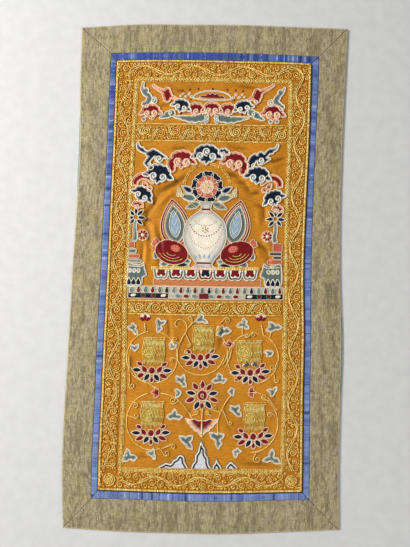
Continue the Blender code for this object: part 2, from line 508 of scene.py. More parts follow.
def pad(threads, shapes, stitch, height, lift=0.0, cell=1.5, edge=0.9, sunk=0.35, outer=None):
    """A shape filled with satin stitch: domed at its edge, closed under the cloth's face.

    stitch is the stitches' direction in degrees, edge the width over which the pad rises.
    Colour bands follow the outer outlines, where they aren't the shape's own.
    """
    loops = [resampled(loop, min(cell, EDGE_SIDE), True) for loop in fused(shapes)]
    rim = np.vstack(loops)
    low, high = rim.min(axis=0), rim.max(axis=0)
    grid = np.array([
        (across, row)
        for number, row in enumerate(np.arange(low[1], high[1] + cell, cell * ROW_RISE))
        for across in np.arange(low[0] + cell / 2 * (number % 2), high[0] + cell, cell)])
    filled = np.zeros(len(grid), bool)
    for loop in loops:
        filled ^= inside(loop, grid)
    grid = grid[filled]
    gaps = distance_to(loops, grid) if len(grid) else np.zeros(0)
    clear = gaps > cell * EDGE_CLEAR
    grid, gaps = grid[clear], gaps[clear]
    inset = np.concatenate((np.zeros(len(rim)), gaps))
    edges = [side for face in numbered(loops) for side in zip(face, face[1:] + face[:1])]
    out, _, tris, sources, _, _ = delaunay_2d_cdt(
        [Vector(place) for place in np.vstack((rim, grid))], edges, [], 2, 1e-5)
    out = np.array([tuple(place) for place in out])
    inset = np.array([inset[source[0]] if source else 0.0 for source in sources])
    across, along = math.sin(math.radians(stitch)), math.cos(math.radians(stitch))
    bands = inset if outer is None else distance_to(outer, out)
    guides = np.column_stack((out @ (along, across), out @ (-across, along), bands))
    rise = height * np.sqrt(np.clip(1 - (1 - np.minimum(inset / edge, 1)) ** 2, 0, 1))
    top = on_cloth(out, lift + rise - sunk * (inset <= 0))
    under = on_cloth(out, lift - sunk - PAD_FOOT)
    count = len(out)
    faces = list(tris)
    faces += [[index + count for index in reversed(tri)] for tri in tris]
    faces += [(b, a, a + count, b + count) for a, b in sorted(open_sides(tris))]
    threads.add(np.vstack((top, under)), np.vstack((guides, guides)), faces)
    return loops


PINK_EDGED = ("burgundy", "burgundy_cloud", "coral", "salmon", "pink")


def rimmed(work, shapes, fill, stitch, height, rim_radius, lift=0.0, rim=None, **how):
    """A filled shape with a thin cord, pink or cream unless named, couched round its edge."""
    rim = rim or ("pink_rim" if fill in PINK_EDGED else "cream_rim")
    for loop in pad(work[fill], shapes, stitch, height, lift, **how):
        cord(work[rim], loop, rim_radius, lift + RIM_LIFT, closed=True)


# ---- materials

class Dye:
    """A material in the making, whose grain follows a guide of three lengths kept in the mesh."""

    def __init__(self, name, attribute=None):
        self.material = bpy.data.materials.new(name)
        self.material.use_nodes = True
        self.tree = self.material.node_tree
        if attribute:
            self.guide = self.node("Attribute", attribute_name=attribute)["Vector"]

    def part(self, number):
        """One of the guide's three lengths."""
        return self.node("SeparateXYZ", {0: self.guide})[number]

    def fill(self, made, sockets):
        """Give each of a node's sockets its value or its link."""
        for name, value in sockets.items():
            if isinstance(value, bpy.types.NodeSocket):
                self.tree.links.new(value, made.inputs[name])
            else:
                made.inputs[name].default_value = value

    def node(self, kind, sockets=None, **settings):
        """A shader node with its settings, values and links; returns its outputs."""
        made = self.tree.nodes.new("ShaderNode" + kind)
        for name, value in settings.items():
            setattr(made, name, value)
        self.fill(made, sockets or {})
        return made.outputs

    def math(self, operation, first, second=0.0, clamp=False):
        return self.node("Math", {0: first, 1: second}, operation=operation, use_clamp=clamp)[0]

    def mixed(self, share, first, second):
        """A blend of two colours."""
        return self.node("Mix", {0: share, 6: first, 7: second}, data_type="RGBA")[2]

    def ranged(self, value, low, high, to_low=0.0, to_high=1.0):
        return self.node("MapRange", {
            "Value": value, "From Min": low, "From Max": high, "To Min": to_low, "To Max": to_high},
            interpolation_type="SMOOTHSTEP")[0]

    def noise(self, scale, detail=2.0, roughness=0.5):
        """Noise whose grain has a scale along each axis of the guide."""
        place = self.node("Mapping", {"Vector": self.guide, "Scale": scale})[0]
        return self.node("TexNoise", {
            "Vector": place, "Scale": 1.0, "Detail": detail, "Roughness": roughness})["Fac"]

    def layered(self, base, *layers):
        """Colours laid on in turn. Each has what leads it, where it starts, where it is full,
        how much of it is laid at most, and its colour."""
        for lead, start, full, most, colour in layers:
            base = self.mixed(self.ranged(lead, start, full, 0.0, most), base, colour)
        return base

    def finished(self, base, roughness, relief, height, **finish):
        """The material with its colour, range of roughness, relief in millimetres and finish."""
        normal = self.node("Bump", {"Height": relief, "Distance": height * MM, "Strength": 1.0})[0]
        sockets = {"Base Color": base, "Roughness": self.ranged(*roughness), "Normal": normal}
        sockets.update({name.replace("_", " "): value for name, value in finish.items()})
        self.fill(self.tree.nodes["Principled BSDF"], sockets)
        return self.material


def tint(colour, factor):
    return tuple(min(channel * factor, 1.0) for channel in colour[:3]) + (1.0,)


def satin_material(colour, worked):
    """Ochre satin: fine floats and worn patches, with painted shade between the gold threads that cover
    it and in its crease valleys.

    The guide's third length is 1 under the gold bands and falls to -1 in the creases; both lay painted
    shade.
    """
    dye = Dye("ochre_satin", "cut")
    gold_and_crease_shade = dye.part(2)
    patches = dye.noise((0.022, 0.016, 0), 3.0, 0.6)
    slubs = dye.noise((0.09, 1.6, 0))
    floats = dye.noise((1.1, 5.0, 0), 1.0)
    grain = dye.noise((0.12, 0.62, 0), 3.0, 0.75)
    # The last two layers are painted shade: between the gold threads, and in the crease valleys.
    base = dye.layered(
        tint(colour, 0.86), (patches, 0.3, 0.7, 1.0, tint(colour, 1.16)),
        (grain, 0.5, 0.68, 0.6, tint(colour, 0.6)), (grain, 0.5, 0.32, 0.5, (0.84, 0.38, 0.05, 1)),
        (slubs, 0.45, 0.8, 0.28, tint(colour, 1.5)), (floats, 0.35, 0.7, 0.25, tint(colour, 0.6)),
        (gold_and_crease_shade, 0.3, 0.7, 0.9, worked), (gold_and_crease_shade, -0.05, -0.9, 0.85, tint(colour, 0.3)))
    weave = dye.math("ADD", dye.math("MULTIPLY", slubs, 0.5), floats)
    return dye.finished(
        base, (slubs, 0.3, 0.7, 0.36, 0.5), weave, 0.16, Specular_IOR_Level=0.3,
        Specular_Tint=(1.0, 0.70, 0.30, 1.0), Sheen_Weight=0.12, Sheen_Roughness=0.4,
        Sheen_Tint=(1.0, 0.70, 0.35, 1.0), Anisotropic=0.35)


def slub_material(colour, pale):
    """Olive silk: streaks of grey, yellow and brown that run up the panel, with painted light and shade
    on soft wrinkles, a painted highlight along the fold and painted shade in the mitre seams.

    The guide's third length is how far in from the folded edge, and falls below 0 at the mitres.
    """
    dye = Dye("olive_silk", "cut")
    from_edge = dye.part(2)
    hue = dye.noise((0.06, 0.04, 0))
    blotches = dye.noise((0.22, 0.10, 0), 3.0, 0.65)
    slubs = dye.noise((0.62, 0.09, 0), 3.0, 0.65)
    picks = dye.noise((0.12, 0.7, 0), 2.0, 0.6)
    wrinkle_relief_and_shade = dye.noise((0.11, 0.018, 0), 2.0, 0.55)
    grain = dye.noise((1.3, 1.0, 0), 2.0, 0.7)
    # The wrinkle layers paint light and shade on the wrinkles; the last two layers are a painted
    # highlight along the folded edge and painted shade in the mitre seams.
    base = dye.layered(
        tint(colour, 0.52), (blotches, 0.36, 0.64, 1.0, pale),
        (hue, 0.45, 0.7, 0.5, (0.46, 0.345, 0.13, 1)), (hue, 0.5, 0.3, 0.5, (0.37, 0.315, 0.235, 1)),
        (slubs, 0.47, 0.65, 0.8, tint(pale, 1.45)), (picks, 0.5, 0.68, 0.55, tint(colour, 0.42)),
        (wrinkle_relief_and_shade, 0.53, 0.64, 0.5, tint(colour, 0.42)), (wrinkle_relief_and_shade, 0.46, 0.34, 0.30, tint(pale, 1.25)),
        (grain, 0.36, 0.66, 0.6, tint(colour, 0.52)), (from_edge, 2.6, 1.2, 0.45, tint(pale, 1.4)),
        (from_edge, 0.0, -1.5, 0.9, (0.02, 0.017, 0.012, 1)))
    weave = dye.math("ADD", slubs, dye.math("ADD", picks, grain))
    return dye.finished(
        base, (slubs, 0.3, 0.7, 0.66, 0.84), dye.math("SUBTRACT", weave, wrinkle_relief_and_shade), 0.36,
        Sheen_Weight=0.1)


def ribbon_material(colour, pale):
    """Blue satin ribbon: crosswise ribs, creases with painted shade and painted highlights, paler in
    places, and a painted shadow along its folds.

    The guide is the travel along it, the distance in from its edges, and how pale it is.
    """
    dye = Dye("blue_ribbon", "cut")
    from_fold, paleness = dye.part(1), dye.part(2)
    ribs = dye.noise((1.6, 0.12, 0), 1.0)
    patches = dye.noise((0.06, 0.03, 0))
    creases = dye.noise((0.16, 0.03, 0), 2.0, 0.6)
    paler_share = dye.math("ADD", paleness, dye.ranged(patches, 0.3, 0.7, -0.6, 0.5), clamp=True)
    # The crease layers are painted shade and painted highlights on the puckers, and the last layer is a
    # painted shadow along the folds.
    base = dye.layered(
        dye.mixed(paler_share, colour, pale), (ribs, 0.4, 0.7, 0.45, tint(colour, 0.5)),
        (creases, 0.57, 0.68, 0.8, tint(colour, 0.3)), (creases, 0.43, 0.33, 0.7, (0.42, 0.48, 0.70, 1)),
        (from_fold, 1.1, 0.1, 0.9, (0.010, 0.011, 0.025, 1)))
    return dye.finished(
        base, (ribs, 0.3, 0.7, 0.3, 0.46), dye.math("SUBTRACT", ribs, creases), 0.2,
        Specular_IOR_Level=0.4, Specular_Tint=(0.55, 0.68, 1.0, 1.0), Anisotropic=0.4)


def lining_material(colour):
    """Thin teal lining: a plain over-and-under weave."""
    dye = Dye("teal_lining", "cut")
    weave = dye.math("MAXIMUM", dye.noise((1.8, 0.1, 1), 1.0), dye.noise((0.1, 1.8, 1), 1.0))
    base = dye.layered(tint(colour, 0.75), (weave, 0.45, 0.75, 1.0, tint(colour, 1.25)))
    return dye.finished(base, (weave, 0.4, 0.8, 0.62, 0.8), weave, 0.2)


def gold_material(name, colour, dark, bright, stitch=0.4):
    """Gold leaf paper wound round a silk core, held down by small red-brown stitches, with painted
    glints over a dark base and painted shade in the grooves of its turns.
    """
    dye = Dye(name, "thread")
    along, around = dye.part(0), dye.part(1)
    turns = dye.math("SINE", dye.math("ADD", dye.math("MULTIPLY", along, TAU / 1.3), around))
    painted_glints = dye.noise((0.30, 0.25, 7.0), 2.0, 0.75)
    wear = dye.noise((0.07, 0.2, 3.0))
    beat = dye.math("ADD", dye.math("MULTIPLY", along, TAU / 3.4), dye.math("MULTIPLY", wear, 9.0))
    stitches = dye.math("COSINE", beat)
    # Painted light: the glint layers lay painted highlights over the dark base, and the turns layer lays
    # painted shade in the grooves of the wound thread.
    base = dye.layered(
        dark, (painted_glints, 0.36, 0.46, 1.0, colour), (painted_glints, 0.5, 0.6, 1.0, bright),
        (turns, -0.4, -1.0, 0.25, dark), (wear, 0.55, 0.8, 0.3, tint(colour, 0.65)),
        (stitches, 0.6, 0.9, stitch, (0.20, 0.050, 0.010, 1)))
    return dye.finished(
        base, (wear, 0.3, 0.7, 0.26, 0.44), dye.math("ADD", turns, stitches), 0.1, Metallic=0.2,
        Specular_Tint=(1.0, 0.76, 0.32, 1.0))


def floss_material(name, bands, blend=0.35, raggedness=1.1):
    """Silk floss in satin stitch. bands are (millimetres in from the edge, colour) in order."""
    dye = Dye(name, "thread")
    strands = dye.noise((0.12, 2.6, 0.0), 2.0, 0.6)
    ragged = dye.noise((0.3, 1.9, 0.0), 1.0)
    stray = dye.math("MULTIPLY", dye.math("SUBTRACT", ragged, 0.5), raggedness)
    depth = dye.math("ADD", dye.part(2), stray)
    base = dye.layered(bands[0][1], *(
        (depth, reach - blend, reach + blend, 1.0, colour) for reach, colour in bands[1:]))
    shade = dye.node("HueSaturation", {
        "Value": dye.ranged(strands, 0.3, 0.7, 0.66, 1.2), "Color": base})[0]
    return dye.finished(
        shade, (strands, 0.3, 0.7, 0.48, 0.32), strands, 0.14, Specular_IOR_Level=0.12, Anisotropic=0.5)


def rim_material(name, colour):
    """A thin couched cord with a darker nip at each holding stitch."""
    dye = Dye(name, "thread")
    nips = dye.math("COSINE", dye.math("MULTIPLY", dye.part(0), TAU / 2.1))
    fibres = dye.noise((0.9, 1.5, 5.0))
    base = dye.layered(
        tint(colour, 0.82), (fibres, 0.3, 0.7, 1.0, tint(colour, 1.1)),
        (nips, 0.6, 1.0, 0.3, tint(colour, 0.5)))
    return dye.finished(base, (fibres, 0.3, 0.7, 0.45, 0.62), dye.math("SUBTRACT", fibres, nips), 0.08)


def floor_material(name, colour):
    dye = Dye(name)
    place = dye.node("TexCoord")["Object"]
    grain = dye.node("TexNoise", {"Vector": place, "Scale": 60.0, "Detail": 3.0})["Fac"]
    base = dye.layered(tint(colour, 0.97), (grain, 0.3, 0.7, 1.0, tint(colour, 1.03)))
    dye.fill(dye.tree.nodes["Principled BSDF"], {"Base Color": base, "Roughness": 0.85})
    return dye.material


# ---- sizes and colours

def colour_property(name, description, colour):
    return bpy.props.FloatVectorProperty(
        name=name, description=description, default=colour, min=0, max=1, size=4, subtype="COLOR")


def length_property(name, description, millimetres):
    return bpy.props.FloatProperty(
        name=name, description=description, default=millimetres * MM, min=0.0, unit="LENGTH",
        precision=5)


class SilkPanelThreads(bpy.types.PropertyGroup):
    """Sizes of the threads and cloths."""

    gold_radius: length_property("Gold thread", "Radius of the couched gold thread", 0.55)
    satin_cell: length_property("Satin cell", "Mesh cell of the satin field", 2.5)


class SilkPanelColours(bpy.types.PropertyGroup):
    """Colours of the cloths and threads."""

    ochre: colour_property("Ochre", "The satin field", (0.545, 0.205, 0.014, 1))
    gold_shade_ochre: colour_property(
        "Worked ochre", "The satin in the shade between gold threads", (0.41, 0.150, 0.011, 1))
    blue: colour_property("Blue", "The ribbon in shade", (0.050, 0.090, 0.31, 1))
    pale_blue: colour_property("Pale blue", "The ribbon where it is worn", (0.215, 0.285, 0.52, 1))
    olive: colour_property("Olive", "The border silk", (0.350, 0.275, 0.130, 1))
    pale_olive: colour_property("Pale olive", "The border's slubs", (0.475, 0.40, 0.222, 1))
    teal_lining: colour_property("Lining", "The lining cloth", (0.26, 0.42, 0.40, 1))
    gold: colour_property("Gold", "Gold thread", (0.98, 0.53, 0.075, 1))
    # Dark gold is the gold thread's painted shade between its glints, and bright gold its painted
    # glints.
    gold_dark: colour_property("Dark gold", "Gold thread in its turns", (0.36, 0.135, 0.012, 1))
    gold_bright: colour_property("Bright gold", "Gold thread where it glints", (1.0, 0.86, 0.32, 1))
    burgundy: colour_property("Burgundy", "Dark red floss", (0.205, 0.010, 0.012, 1))
    navy: colour_property("Navy", "Dark blue floss", (0.009, 0.013, 0.031, 1))
    cream: colour_property("Cream", "Pale floss and rims", (0.95, 0.85, 0.66, 1))
    pink: colour_property("Pink", "Pink floss and rims", (0.88, 0.44, 0.25, 1))
    coral: colour_property("Coral", "Coral floss", (0.62, 0.13, 0.07, 1))
    teal: colour_property("Teal", "Grey-green floss", (0.115, 0.163, 0.145, 1))
    sky: colour_property("Sky", "Pale blue floss", (0.32, 0.44, 0.55, 1))


class SilkPanelStage(bpy.types.PropertyGroup):
    """The camera, the lights and the floor."""

    lens: bpy.props.FloatProperty(
        name="Lens", description="Focal length on a 36 mm frame", default=27.04, min=1,
        subtype="DISTANCE_CAMERA")
    camera_place: bpy.props.FloatVectorProperty(
        name="Camera place", description="Where the camera stands over the panel",
        default=(-0.0053, -0.0160, 0.6243), size=3, subtype="TRANSLATION", unit="LENGTH")
    camera_turn: bpy.props.FloatVectorProperty(
        name="Camera turn", description="The camera's tilt, lean and roll",
        default=(math.radians(1.621), math.radians(-0.070), math.radians(1.296)), size=3,
        subtype="EULER", unit="ROTATION")
    floor: colour_property("Floor", "The pale floor", (0.66, 0.65, 0.63, 1))


def threads_set():
    return bpy.context.scene.silk_panel_threads


def chosen(*names):
    """The user's colours of these names."""
    return [tuple(getattr(bpy.context.scene.silk_panel_colours, name)) for name in names]


def thread_finishes():
    """The finish of each thread: its record slot, what makes its material, and from what."""
    gold_thread, gold_dark, gold_bright, burgundy, navy, cream, pink, coral, teal, sky = chosen(
        "gold", "gold_dark", "gold_bright", "burgundy", "navy", "cream", "pink", "coral", "teal", "sky")
    blush = (0.97, 0.65, 0.44, 1)
    golds = {
        "gold": (gold_thread, gold_dark, gold_bright),
        "bright_gold": ((1.0, 0.70, 0.15, 1), (0.55, 0.26, 0.03, 1), (1.0, 0.94, 0.45, 1), 0.3),
        "pale_gold": ((0.86, 0.62, 0.13, 1), (0.42, 0.25, 0.03, 1), (1.0, 0.90, 0.38, 1), 0.2),
        "stem_gold": ((1.0, 0.68, 0.17, 1), (0.74, 0.39, 0.06, 1), (1.0, 0.88, 0.38, 1), 0.15),
    }
    flosses = {
        "burgundy": ("burgundy_floss", [(0, burgundy)]),
        "burgundy_cloud": ("burgundy_floss", [(0, pink), (2.5, burgundy)], 0.5),
        "double_leaf": ("burgundy_floss", [
            (0, blush), (2.2, pink), (4.2, (0.34, 0.20, 0.16, 1)), (6.4, burgundy)], 1.3, 2.2),
        "lappet_red": ("burgundy_floss", [(0, burgundy), (3.2, cream)], 0.3, 0.8),
        "navy": ("navy_floss", [(0, navy)]),
        "navy_cloud": ("navy_floss", [(0, (0.50, 0.56, 0.58, 1)), (1.9, navy)], 0.5),
        "lappet_navy": ("navy_floss", [(0, navy), (3.0, cream)], 0.3, 0.8),
        "cream": ("cream_floss", [(0, cream)]),
        "glaze": ("cream_floss", [
            (0, (0.50, 0.44, 0.36, 1)), (4.5, (0.76, 0.70, 0.58, 1)), (13, cream)], 3.0, 2.0),
        "railing": ("cream_floss", [
            (0, (0.60, 0.55, 0.42, 1)), (3.0, (0.50, 0.46, 0.35, 1)), (6.2, (0.60, 0.56, 0.45, 1))],
            2.0, 3.0),
        "rock": ("cream_floss", [(0, cream), (2.5, navy), (4.9, (0.70, 0.70, 0.72, 1))], 0.35, 0.9),
        "pink": ("cream_floss", [(0, blush), (1.2, pink)]),
        "cream_coral": ("cream_floss", [(0, cream), (1.6, pink), (3.2, coral)], 0.9),
        "teal": ("teal_floss", [(0, teal)]),
        "teal_cloud": ("teal_floss", [(0, (0.50, 0.50, 0.42, 1)), (1.9, teal)], 0.7),
        "leaf": ("teal_floss", [
            (0, cream), (1.3, (0.42, 0.44, 0.37, 1)), (2.2, (0.14, 0.18, 0.16, 1)), (3.4, teal)],
            0.5, 2.4),
        "lappet_grey": ("teal_floss", [(0, (0.20, 0.24, 0.21, 1)), (3.2, cream)], 0.3, 0.8),
        "coral": ("coral_floss", [(0, coral)]),
        "salmon": ("coral_floss", [(0, (0.60, 0.21, 0.075, 1))]),
        "sky": ("sky_floss", [(0, sky)]),
    }
    rims = {
        "grey_rim": ("teal_floss", (0.16, 0.19, 0.17, 1)),
        "cream_rim": ("cream_floss", cream),
        "leaf_rim": ("cream_floss", (0.94, 0.86, 0.64, 1)),
        "pink_rim": ("cream_floss", blush),
        "navy_rim": ("navy_floss", navy),
    }
    finishes = {name: ("gold_thread", gold_material, tones) for name, tones in golds.items()}
    finishes.update({name: (how[0], floss_material, how[1:]) for name, how in flosses.items()})
    finishes.update({name: (how[0], rim_material, how[1:]) for name, how in rims.items()})
    return finishes


def finish_work(work, area):
    """Make one piece of each colour worked in an area, and let it ride with the panel."""
    finishes = thread_finishes()
    for colour in sorted(work):
        slot, make_material, tones = finishes[colour]
        material = bpy.data.materials.get(colour) or make_material(colour, *tones)
        made = work[colour].piece(f"{area}_{colour}", material)
        made.parent = bpy.data.objects["satin_field"]


# ---- cloths

# Edges of cloth that turn by more than this many degrees are shaded sharp.
SHARP_FROM = 62


def cloth(name, flat, heights, cut, under, material):
    """A closed sheet: a grid of flat places (rows, columns) over a level underside."""
    rows, columns = flat.shape[:2]
    top = np.column_stack((lay(flat.reshape(-1, 2)), heights.reshape(-1)))
    index = np.arange(rows * columns).reshape(rows, columns)
    faces = np.stack((
        index[:-1, :-1], index[:-1, 1:], index[1:, 1:], index[1:, :-1]), axis=2).reshape(-1, 4)
    rim = np.concatenate((index[0, :-1], index[:-1, -1], index[-1, :0:-1], index[:0:-1, 0]))
    bottom = top[rim]
    bottom[:, 2] = under
    below = np.arange(len(rim)) + rows * columns
    sides = np.stack((rim, below, np.roll(below, -1), np.roll(rim, -1)), axis=1)
    faces = faces.tolist() + sides.tolist() + [below[::-1].tolist()]
    guides = cut.reshape(-1, 3)
    sheet = piece_of_mesh(
        name, np.vstack((top, bottom)), faces, "cut", np.vstack((guides, guides[rim])), material)
    sheet.data.set_sharp_from_angle(angle=math.radians(SHARP_FROM))
    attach(sheet, "root")
    return sheet


def edge_fall(distance, radius):
    """How far a rounded edge falls, at a distance in from it."""
    inner = np.clip(radius - distance, 0, radius)
    return radius - np.sqrt(np.clip(radius ** 2 - inner ** 2, 0, None))


def stations(half, cell, edge):
    """Places from -half to half, with a close pair at each end."""
    inner = np.linspace(-half + edge, half - edge, max(2, round(2 * (half - edge) / cell)))
    return np.concatenate(((-half, -half + edge / 2), inner, (half - edge / 2, half)))


def waver(places, seed, lengths=(9.0, 15.0, 26.0)):
    """An uneven wave along a seam, from -1 to 1."""
    rng = np.random.default_rng(seed)
    total = sum(np.sin(TAU * (places / length + rng.random())) for length in lengths)
    return total / len(lengths)


def tucks(places, seed):
    """Narrow tucks at uneven distances along a ribbon, from 0 to 1 deep."""
    rng = np.random.default_rng(seed)
    depth = np.zeros_like(places)
    at = places.min()
    while at < places.max():
        at += rng.uniform(8.0, 21.0)
        width = rng.uniform(1.0, 3.2)
        depth += rng.uniform(0.4, 1.0) * np.exp(-((places - at) / width) ** 2)
    return np.minimum(depth, 1.0)


# Each side's name, the direction it lies in (0 across, 1 up), and its sign.
SIDES = (("top", 1, 1), ("bottom", 1, -1), ("left", 0, -1), ("right", 0, 1))


def strip_grid(outer, inner, axis, sign, cell_along, depths):
    """A mitred strip's flat places, its travel along and its share from inner to outer edge."""
    mitre = SEAM_GAP * math.sqrt(0.5)
    along = stations(1.0, cell_along / outer[1 - axis], 1.6 / outer[1 - axis])
    share, travel = np.meshgrid(depths, along, indexing="ij")
    reach = inner[1 - axis] + share * (outer[1 - axis] - inner[1 - axis]) - mitre
    depth = inner[axis] + share * (outer[axis] - inner[axis])
    travel = travel * reach
    if axis == 1:
        flat = np.stack((travel * sign, depth * sign), axis=2)
    else:
        flat = np.stack((depth * sign, -travel * sign), axis=2)
    return flat, travel, share, reach


def border_strip(side, axis, sign, material):
    outer, inner = BORDER_HALF, RIBBON_HALF + SEAM_GAP / 2
    width = outer[axis] - inner[axis]
    depths = np.concatenate((
        (0, 0.4 / width, 1.0 / width), np.linspace(3.0, width - 2.5, 14) / width,
        1 - np.array((1.4, 0.8, 0.35, 0.1, 0)) / width))
    flat, travel, share, reach = strip_grid(outer, inner, axis, sign, 3.0, depths)
    from_seam, from_edge = share * width, (1 - share) * width
    from_mitre = reach - np.abs(travel)
    seed = 11 + 7 * axis + sign
    pull = waver(travel, seed) * np.exp(-from_seam / 14) * 0.34
    pull += waver(travel, seed + 40, (31.0, 47.0, 83.0)) * 0.3 * np.sin(math.pi * share)
    if axis == 1:
        skew = travel + 9.0 * waver(from_seam, seed + 60, (37.0, 61.0, 90.0))
        ripples = waver(skew, seed + 50, (10.0, 14.0, 23.0))
        pull += 0.30 * np.maximum(ripples, 0) * np.sin(math.pi * share) ** 0.7
    heights = cloth_height(flat) + pull
    heights -= edge_fall(from_edge, 1.15) + 0.5 * edge_fall(from_seam, 1.0)
    heights -= 0.7 * edge_fall(from_mitre, 0.9)
    # Guide for the painted highlight along the folded edge and the painted shade in the mitre seams.
    fold = np.where(from_mitre < 0.3, -3.0, np.minimum(from_edge, 3.0))
    cut = np.dstack((flat, fold))
    strip = cloth(f"border_silk_{side}", flat, heights, cut, FRONT_FLOOR, material)
    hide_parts(f"border_{side}")
    2 * outer[1 - axis] * MM
    width * (outer[1 - axis] + inner[1 - axis]) * MM * MM


# The ribbon's section from its inner to its outer edge: share across, fall of its turned edge.
RIBBON_SECTION = (
    (0.0, 1.55), (0.0, 1.0), (0.012, 0.42), (0.05, 0.12), (0.13, 0.0), (0.25, 0.0), (0.38, 0.0),
    (0.5, 0.0), (0.62, 0.0), (0.75, 0.0), (0.87, 0.0), (0.95, 0.12), (0.988, 0.42), (1.0, 1.0),
    (1.0, 1.55))


# How pale each length of ribbon is, from its left or lower end to its other end.
RIBBON_PALENESS = {
    "top": (0.0, 0.2), "bottom": (1.0, 0.95), "left": (1.1, 0.35), "right": (0.95, 0.75)}
# How much further the shade of the inner fold reaches.
INNER_SHADE = {"top": -0.2, "bottom": 0.9, "left": -0.2, "right": 0.3}


def ribbon_strip(side, axis, sign, material):
    """A puckered ribbon with both edges turned under."""
    outer, inner = RIBBON_HALF - SEAM_GAP / 2, FIELD_HALF + SEAM_GAP / 2
    width = outer[axis] - inner[axis]
    depths, fall = np.array(RIBBON_SECTION).T
    flat, travel, share, reach = strip_grid(outer, inner, axis, sign, 0.9, depths)
    seed = 31 + 5 * axis + sign
    tuck = tucks(travel, seed)
    arch = np.sin(math.pi * share) ** 0.5
    pull = 0.22 * waver(travel, seed + 9, (7.0, 11.0, 19.0)) * arch
    heights = cloth_height(flat) + 0.25 + 0.3 * arch + pull
    heights -= 0.6 * tuck * (0.6 + 0.4 * np.cos(math.pi * (share - 0.3)))
    heights -= 0.5 * edge_fall(reach - np.abs(travel), 0.8)
    turned_under = np.broadcast_to(fall[:, None], share.shape)
    heights = np.maximum(heights - turned_under, LINING_TOP + 0.75)
    place = flat[..., 1 - axis] / outer[1 - axis] / 2 + 0.5
    first, last = RIBBON_PALENESS[side]
    # The distance from the folds, which lays the painted shadow along them, on the turned-under edges
    # and at the mitre ends.
    from_fold = np.minimum(share * width - INNER_SHADE[side], (1 - share) * width + 0.6)
    from_fold = np.minimum(from_fold, 1.6 * (reach - np.abs(travel)))
    cut = np.stack((
        travel + 900.0 * seed, from_fold - turned_under, first + (last - first) * place), axis=2)
    strip = cloth(f"ribbon_satin_{side}", flat, heights, cut, FRONT_FLOOR, material)
    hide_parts(f"ribbon_{side}")
    cut_width = width + 2 * fall[0]
    2 * outer[1 - axis] * MM
    cut_width * (outer[1 - axis] + inner[1 - axis]) * MM * MM


class SILKPANEL_OT_lining(bpy.types.Operator):
    """Lay the teal lining, slipping out at both sides"""

    bl_idname = "silkpanel.lining"
    bl_label = "Lay lining"

    def execute(self, context):
        check_outline(CAD_BOX)
        up = np.linspace(-BORDER_HALF[1] + 1.6, BORDER_HALF[1] - 1.6, 160)
        left = BORDER_HALF[0] + read_smooth(LINING_REACH, 1, up)
        right = BORDER_HALF[0] + read_smooth(LINING_REACH, 2, up)
        share = np.concatenate(((0, 0.002, 0.006), np.linspace(0.02, 0.98, 14), (0.994, 0.998, 1)))
        flat = np.stack((
            -left[:, None] + share[None, :] * (left + right)[:, None],
            np.repeat(up[:, None], len(share), axis=1)), axis=2)
        heights = np.full(flat.shape[:2], LINING_TOP)
        cut = np.dstack((flat, np.zeros(flat.shape[:2])))
        material = lining_material(*chosen("teal_lining"))
        sheet = cloth("lining_cloth", flat, heights, cut, 0.0, material)
        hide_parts("lining")
        return {"FINISHED"}


def shade_under_gold(flat):
    """1 under the gold frame and bands, where the satin gets painted shade between the threads, 0 in the
    three pictures.
    """
    across, up = flat[..., 0], flat[..., 1]
    frame_band = (across < FIELD_LEFT) | (across > FIELD_RIGHT)
    frame_band |= (up > FIELD_TOP) | (up < FIELD_BOTTOM)
    for low, high in LEVEL_BANDS:
        frame_band |= (up > low) & (up < high)
    return frame_band.astype(float)


class SILKPANEL_OT_ground(bpy.types.Operator):
    """Lay the ochre satin field with its ridges and creases"""

    bl_idname = "silkpanel.ground"
    bl_label = "Lay satin field"

    def execute(self, context):
        cell = threads_set().satin_cell / MM
        half = FIELD_HALF - SEAM_GAP / 2
        across, up = stations(half[0], cell, 1.6), stations(half[1], cell, 1.6)
        flat = np.stack(np.meshgrid(across, up), axis=2)
        from_edge = (half - np.abs(flat)).min(axis=2)
        heights = cloth_height(flat)
        pull = waver(flat[..., 0], 3) * np.exp(-(half[1] - np.abs(flat[..., 1])) / 7)
        pull += waver(flat[..., 1], 4) * np.exp(-(half[0] - np.abs(flat[..., 0])) / 7)
        heights += 0.12 * pull - 1.2 * np.clip(1 - from_edge / 5.0, 0, 1)
        heights = np.maximum(heights, FRONT_FLOOR + 0.3)
        # Painted shade for the satin: under the gold, and in the crease valleys, deepest where they fall
        # most.
        sunk = np.clip(-swell(flat, CREASES), 0, 1)
        cut = np.dstack((flat, shade_under_gold(flat) - sunk))
        material = satin_material(*chosen("ochre", "gold_shade_ochre"))
        sheet = cloth("satin_field", flat, heights, cut, FRONT_FLOOR, material)
        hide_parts("silk_ground")
        return {"FINISHED"}


class SILKPANEL_OT_ribbon(bpy.types.Operator):
    """Lay the four lengths of puckered blue ribbon"""

    bl_idname = "silkpanel.ribbon"
    bl_label = "Lay ribbon"

    def execute(self, context):
        material = ribbon_material(*chosen("blue", "pale_blue"))
        for side, axis, sign in SIDES:
            ribbon_strip(side, axis, sign, material)
        return {"FINISHED"}


class SILKPANEL_OT_border(bpy.types.Operator):
    """Lay the four mitred strips of olive slubbed silk"""

    bl_idname = "silkpanel.border"
    bl_label = "Lay border"

    def execute(self, context):
        material = slub_material(*chosen("olive", "pale_olive"))
        for side, axis, sign in SIDES:
            border_strip(side, axis, sign, material)
        return {"FINISHED"}


# ---- gold bands

# How far a chain's rails run from its middle.
RAIL_OUT = 2.9
# Packed coils keep this clear of the stems. Those with a larger radius than STEMMED_FROM grow out
# of a stem, if it is within STEM_REACH of their outer turn.
STEM_CLEAR = 1.3
STEMMED_FROM = 2.2
STEM_REACH = 3.5
# How many places are measured at a time, to spare memory.
AT_A_TIME = 2000
